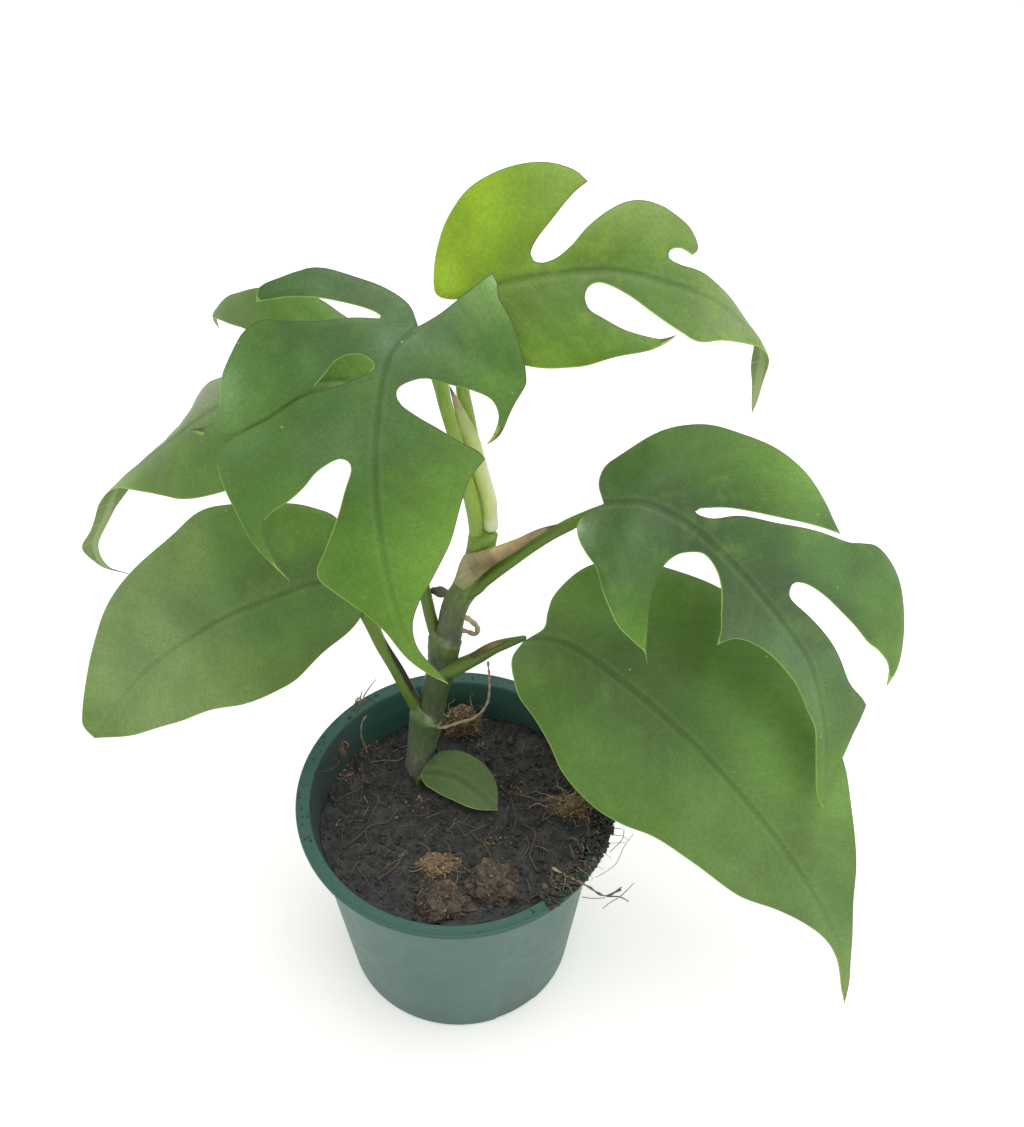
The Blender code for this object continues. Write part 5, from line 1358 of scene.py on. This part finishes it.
# Loose bits: how many there are on the mix, on one clod and over the flange.
LITTER_LEVEL = 80  # height at which the pot's room bounds the loose bits
CRUMBS = 2600
FIBRES = 210
CLOD_BITS = 120
SPILLED_BITS = 1500
STRAY_BITS = 90
SPILLED_FIBRES = 60
# Patches of tan fibre dust on the mix: place, spread and number of flecks.
FLECKS = [
    (40, -1, 2.4, 120), (44, -4, 1.5, 110), (-6.5, -23.5, 2.6, 150), (-1, -38.5, 2.6, 80),
    (9, -35, 2.4, 50), (-34, 32, 2.6, 60), (-38.5, 20, 2.2, 60), (8, 34, 3, 90),
    (20, 12, 3.5, 50), (12, -12, 2.5, 30), (-20, -18, 3, 30), (-14, 4, 2, 20),
]


def scatter_disc(count, limit):
    """Random places over the mix."""
    reach = limit * np.sqrt(RNG.uniform(0, 1, count))
    angle = RNG.uniform(0, 2 * math.pi, count)
    return reach * np.cos(angle), reach * np.sin(angle)


def make_litter(bits, threads):
    limit = inner_radius(LITTER_LEVEL) - 1.5
    parts = []
    for x, y in zip(*scatter_disc(CRUMBS, limit)):
        size = min(1.6, 0.28 + RNG.exponential(0.28))
        z = crumb_height(x, y) + size * 0.3
        shade = RNG.beta(1.3, 3.2)
        parts.append((*crumb((x, y, z), size), shade))
    heap_piece("crumbs", parts, bits, [], "potting_mix", CRUMB_TONES)
    parts = []
    for across, back, spread, count in FLECKS:
        for _ in range(count):
            x, y = np.array([across, back]) + RNG.normal(0, spread, 2)
            shrink = min(1.0, limit / math.hypot(x, y))
            x, y = x * shrink, y * shrink
            size = min(0.8, 0.2 + RNG.exponential(0.16))
            parts.append((*crumb((x, y, crumb_height(x, y) + size * 0.5), size), RNG.beta(1.6, 1.8)))
    heap_piece("flecks", parts, bits, [], "coir", TAN_TONES)
    parts = []
    for x, y in zip(*scatter_disc(FIBRES, limit - 3)):
        length = RNG.uniform(3, 15)
        start = (x, y, crumb_height(x, y) + 0.3)
        points = fibre(start, length, RNG.uniform(0.07, 0.17), RNG.uniform(0.1, 1.1), RNG.choice([0.12, 0.4]))
        points = [(px, py, max(pz, soil_height(px, py) + 0.6), pr) for px, py, pz, pr in points
                  if math.hypot(px, py) < limit]
        if len(points) > 2:
            parts.append((*strand(points), RNG.beta(1.6, 2.2)))
    heap_piece("fibres", parts, threads, [], "coir", FIBRE_TONES)


# Clods: name, node, centre, radii, seed of the shape, colours and number of fibres.
CLODS = [
    ("clod_front", "peat_lump_front", (-3, -39), (8.5, 6.5, 5), 1.7, FRONT_TONES, 26),
    ("clod_right", "peat_lump_right", (13, -32), (8, 8, 6.5), 5.2, LUMP_TONES, 20),
    ("clod_light", "coir_clump", (-5, -22.5), (7, 4.2, 3.3), 8.8, TAN_TONES, 14),
    ("clod_red", "fibre_clump_right", (39, -0.8), (8.6, 3.8, 3.6), 3.1, TAN_TONES, 60),
    ("clod_back", "fibre_clump_back", (1, 39.5), (6, 4, 9), 6.4, TAN_TONES, 50),
]


def ball(detail):
    """Round mesh of split triangles."""
    verts, faces = base_ball()
    verts = [tuple(v) for v in verts]
    for _ in range(detail):
        split, made = {}, []
        for a, b, c in faces:
            mid = []
            for pair in ((a, b), (b, c), (c, a)):
                key = frozenset(pair)
                if key not in split:
                    point = np.add(verts[pair[0]], verts[pair[1]])
                    verts.append(tuple(point / np.linalg.norm(point)))
                    split[key] = len(verts) - 1
                mid.append(split[key])
            made += [(a, mid[0], mid[2]), (b, mid[1], mid[0]), (c, mid[2], mid[1]), tuple(mid)]
        faces = made
    return np.array(verts), faces


def make_clods(bits, threads):
    round_verts, round_faces = ball(4)
    for name, node, (x, y), radii, seed, colours, hairs in CLODS:
        centre = np.array([x, y, soil_height(x, y) + radii[2] * 0.25])
        spread = 1 + 0.4 * ripple(round_verts, 1.7, seed) + 0.2 * ripple(round_verts, 5, seed + 2, 3)
        verts = centre + round_verts * np.array(radii) * spread[:, None]
        shade = np.clip(0.35 + 0.7 * ripple(round_verts, 7, seed, 2), 0, 0.95)
        piece(name, verts, round_faces, [bits], [node], "coir", tint=blended(colours, shade * 0.8))
        parts = []
        for _ in range(hairs):
            start = centre + upward(0.8) * np.array(radii) * RNG.uniform(0.85, 1.05)
            points = fibre(start, RNG.uniform(4, 12), RNG.uniform(0.1, 0.22), RNG.uniform(-0.5, 1.5),
                           0.6, RNG.uniform(-0.25, 0.3))
            points = [(px, py, max(pz, soil_height(px, py) + 0.5), pr) for px, py, pz, pr in points]
            parts.append((*strand(points), RNG.uniform(0, 1)))
        for _ in range(CLOD_BITS):
            way = upward()
            size = RNG.uniform(0.25, 0.9)
            parts.append((*crumb(centre + way * np.array(radii), size), RNG.beta(1.5, 2.5)))
        heap_piece(name + "_hairs", parts, threads, [], "coir", colours)


# Single hairs as x, y, z, radius: the fork of the long stray root and arcs beside it, two
# strands on the mix, and two hairs at the left rim.
RIM_HAIRS = [
    [(49.9, -39.7, 88, 0.3), (52.2, -38.6, 88.3, 0.28), (54.5, -36.9, 88.6, 0.22)],
    [(49.9, -39.9, 88, 0.26), (54, -40.2, 88.2, 0.24), (56.7, -42, 88.4, 0.16)],
    [(54, -40.1, 88.2, 0.16), (56.4, -37.8, 88.4, 0.14), (58.8, -35.2, 88.6, 0.1)],
    [(53.4, -40.6, 88.1, 0.14), (50.6, -42.2, 87.8, 0.14), (48.4, -44.2, 87.6, 0.1)],
    [(41.8, -39.5, 87, 0.16), (45.4, -40.4, 87.6, 0.15), (49.2, -40.4, 88, 0.13)],
    [(46.5, -32.2, 87.2, 0.1), (50.2, -30.3, 88, 0.1), (53.5, -27.2, 88.2, 0.1),
     (56.1, -21.1, 88.4, 0.1), (59.4, -16.2, 88.4, 0.08)],
    [(51.4, -22.5, 87.2, 0.12), (54, -20, 87.8, 0.12), (55.9, -17.7, 88.2, 0.12),
     (56.3, -14.4, 88.4, 0.1)],
    [(52, -19.2, 87.4, 0.1), (54.6, -19.4, 87.9, 0.09), (56.4, -19.3, 88, 0.08)],
    [(20.5, 4.2, 81.6, 0.3), (24, 2.6, 82.8, 0.4), (28.5, 0.6, 83.4, 0.5), (34, 0, 84, 0.6)],
    [(20, -9, 81, 0.22), (20.4, -5, 81.8, 0.24), (19.6, -1, 81.8, 0.2), (18.8, 3, 81.4, 0.16)],
    [(-33.4, 42, 86.6, 0.22), (-31.6, 44.6, 88, 0.2), (-29, 47.8, 89.4, 0.12)],
    [(-43.2, 20, 80.6, 0.24), (-40.6, 17.4, 82, 0.22), (-43.4, 13, 83.6, 0.18),
     (-47.6, 10.6, 85.6, 0.12)],
]
# Tufts at the left rim: upper end, lower end and number of hairs.
TUFTS = [((-33.8, 41.4, 86.2), (-38, 34.4, 80), 30), ((-42.6, 28, 83), (-40.4, 23.6, 76.8), 22)]


def make_spill(bits, threads):
    """Crumbs and hairs over the flange, most on the heaped side, and the tufts at the left."""
    parts = []
    for _ in range(SPILLED_BITS):
        angle = math.radians(RNG.uniform(-54, 14))
        heap = max(0, 1 - abs(math.degrees(angle) + 18) / 38)
        reach = RIM_RADIUS - RNG.uniform(-0.8 * heap, FLANGE_WIDTH + 3)
        size = min(1.3, 0.22 + RNG.exponential(0.28))
        z = POT_HEIGHT + size * 0.5 + RNG.uniform(0, 2.2 * heap)
        parts.append((*crumb(rim_point(reach, angle, z), size), RNG.beta(1.5, 2.5)))
    for _ in range(STRAY_BITS):
        angle = math.radians(RNG.uniform(-60, 200))
        reach = RIM_RADIUS - RNG.uniform(1, FLANGE_WIDTH - 1)
        size = RNG.uniform(0.15, 0.45)
        z = POT_HEIGHT + size * 0.4
        parts.append((*crumb(rim_point(reach, angle, z), size), RNG.beta(1.3, 3)))
    heap_piece("spill", parts, bits, ["spilled_peat"], "potting_mix", CRUMB_TONES)
    parts = []
    for _ in range(SPILLED_FIBRES):
        angle = math.radians(RNG.uniform(-50, 12))
        reach = RIM_RADIUS - RNG.uniform(0, 9)
        start = rim_point(reach, angle, POT_HEIGHT + 1.2)
        points = fibre(start, RNG.uniform(3, 9), RNG.uniform(0.1, 0.24), RNG.uniform(0.3, 1.5), 0.4)
        parts.append((*strand(points), RNG.beta(2.2, 1.6)))
    for upper, lower, count in TUFTS:
        for _ in range(count):
            start = np.array(upper) + RNG.normal(0, 0.8, 3)
            end = np.array(lower) + RNG.normal(0, 1.1, 3)
            bend = (start + end) / 2 + RNG.normal(0, 0.9, 3)
            points = [(*start, 0.16), (*bend, 0.2), (*end, 0.12)]
            parts.append((*strand(points), RNG.beta(3, 1.6)))
    for route in RIM_HAIRS:
        parts.append((*strand(smooth_path(route, 4).tolist()), 0.15))
    heap_piece("spill_hairs", parts, threads, [], "coir", FIBRE_TONES)


# ---------------------------------------------------------------- stage
FLOOR_GLOW = 0.36
WORLD_LIGHT = 0.72  # strength as a light; seen directly or in a reflection the world has 1
LAMP_PLACE = (0.3, 0.06, 1.28)
LAMP_AIM = (0, 0, 0.12)
LAMP_SIZE = 1.3
LAMP_POWER = 9.0
CAMERA_PLACE = (0.01912, -0.36571, 0.62006)
CAMERA_DOWN = 48.58  # degrees below level
CAMERA_LENS = 60.69


def seen_directly(tree):
    """1 for the camera's rays and for those that come by way of a reflection or through glass."""
    path = wired(tree, "ShaderNodeLightPath")
    found = path.outputs["Is Camera Ray"]
    for kind in ("Is Glossy Ray", "Is Transmission Ray"):
        more = wired(tree, "ShaderNodeMath", {0: found, 1: path.outputs[kind]}, operation="MAXIMUM")
        found = more.outputs[0]
    return found


def make_stage():
    data = bpy.data.meshes.new("floor")
    far = 4.0
    data.from_pydata([(-far, -far, 0), (far, -far, 0), (far, far, 0), (-far, far, 0)], [],
                     [(0, 1, 2, 3)])
    floor = bpy.data.objects.new("floor", data)
    bpy.context.scene.collection.objects.link(floor)
    material = bpy.data.materials.new("floor_white")
    material.use_nodes = True
    tree = material.node_tree
    tree.nodes.clear()
    diffuse = wired(tree, "ShaderNodeBsdfDiffuse", {"Color": (0.9, 0.895, 0.865, 1)})
    scale = wired(tree, "ShaderNodeMath", {0: seen_directly(tree), 1: FLOOR_GLOW}, operation="MULTIPLY")
    glow = wired(tree, "ShaderNodeEmission", {"Color": (1, 1, 0.985, 1), "Strength": scale.outputs[0]})
    both = wired(tree, "ShaderNodeAddShader", {0: diffuse.outputs[0], 1: glow.outputs[0]})
    wired(tree, "ShaderNodeOutputMaterial", {"Surface": both.outputs[0]})
    data.materials.append(material)


def make_light():
    world = bpy.data.worlds.new("studio")
    bpy.context.scene.world = world
    world.use_nodes = True
    tree = world.node_tree
    back = tree.nodes["Background"]
    back.inputs["Color"].default_value = (1, 1, 1, 1)
    pick = wired(tree, "ShaderNodeMapRange", {"Value": seen_directly(tree), "To Min": WORLD_LIGHT,
                                              "To Max": 1.0})
    feed(tree, back.inputs["Strength"], pick.outputs["Result"])
    lamp = bpy.data.lights.new("softbox", "AREA")
    lamp.shape = "DISK"
    lamp.size = LAMP_SIZE
    lamp.energy = LAMP_POWER
    box = bpy.data.objects.new("softbox", lamp)
    box.location = LAMP_PLACE
    aim = Vector(LAMP_AIM) - box.location
    box.rotation_euler = aim.to_track_quat("-Z", "Y").to_euler()
    bpy.context.scene.collection.objects.link(box)


def make_camera():
    data = bpy.data.cameras.new("view")
    data.sensor_width = 36
    data.lens = CAMERA_LENS
    camera = bpy.data.objects.new("view", data)
    camera.location = CAMERA_PLACE
    camera.rotation_euler = (math.radians(90 - CAMERA_DOWN), 0, 0)
    bpy.context.scene.collection.objects.link(camera)
    bpy.context.scene.camera = camera
    bpy.context.scene.view_settings.view_transform = "Standard"


def main():
    stem_tissue = tinted("stem_skin", 0.5, 0.16, 0.16, 0.0002)
    stalk_tissue = tinted("petiole_skin", 0.4, 0.1, 0.08, 0.0001)
    fresh_tissue = tinted("sheath_skin", 0.5, 0.09, 0.04, 0.0001)
    dry_tissue = tinted("dry_skin", 0.75, 0.24, 0.12, 0.0002)
    bits = crumb_material("crumbs")
    threads = crumb_material("fibres", 0.8)
    make_leaves()
    make_stem(stem_tissue)
    make_petioles(stalk_tissue)
    make_sheaths(fresh_tissue, dry_tissue)
    make_roots(dry_tissue)
    make_pot()
    make_soil(peat_material())
    make_litter(bits, threads)
    make_clods(bits, threads)
    make_spill(bits, threads)
    make_stage()
    make_light()
    make_camera()


main()
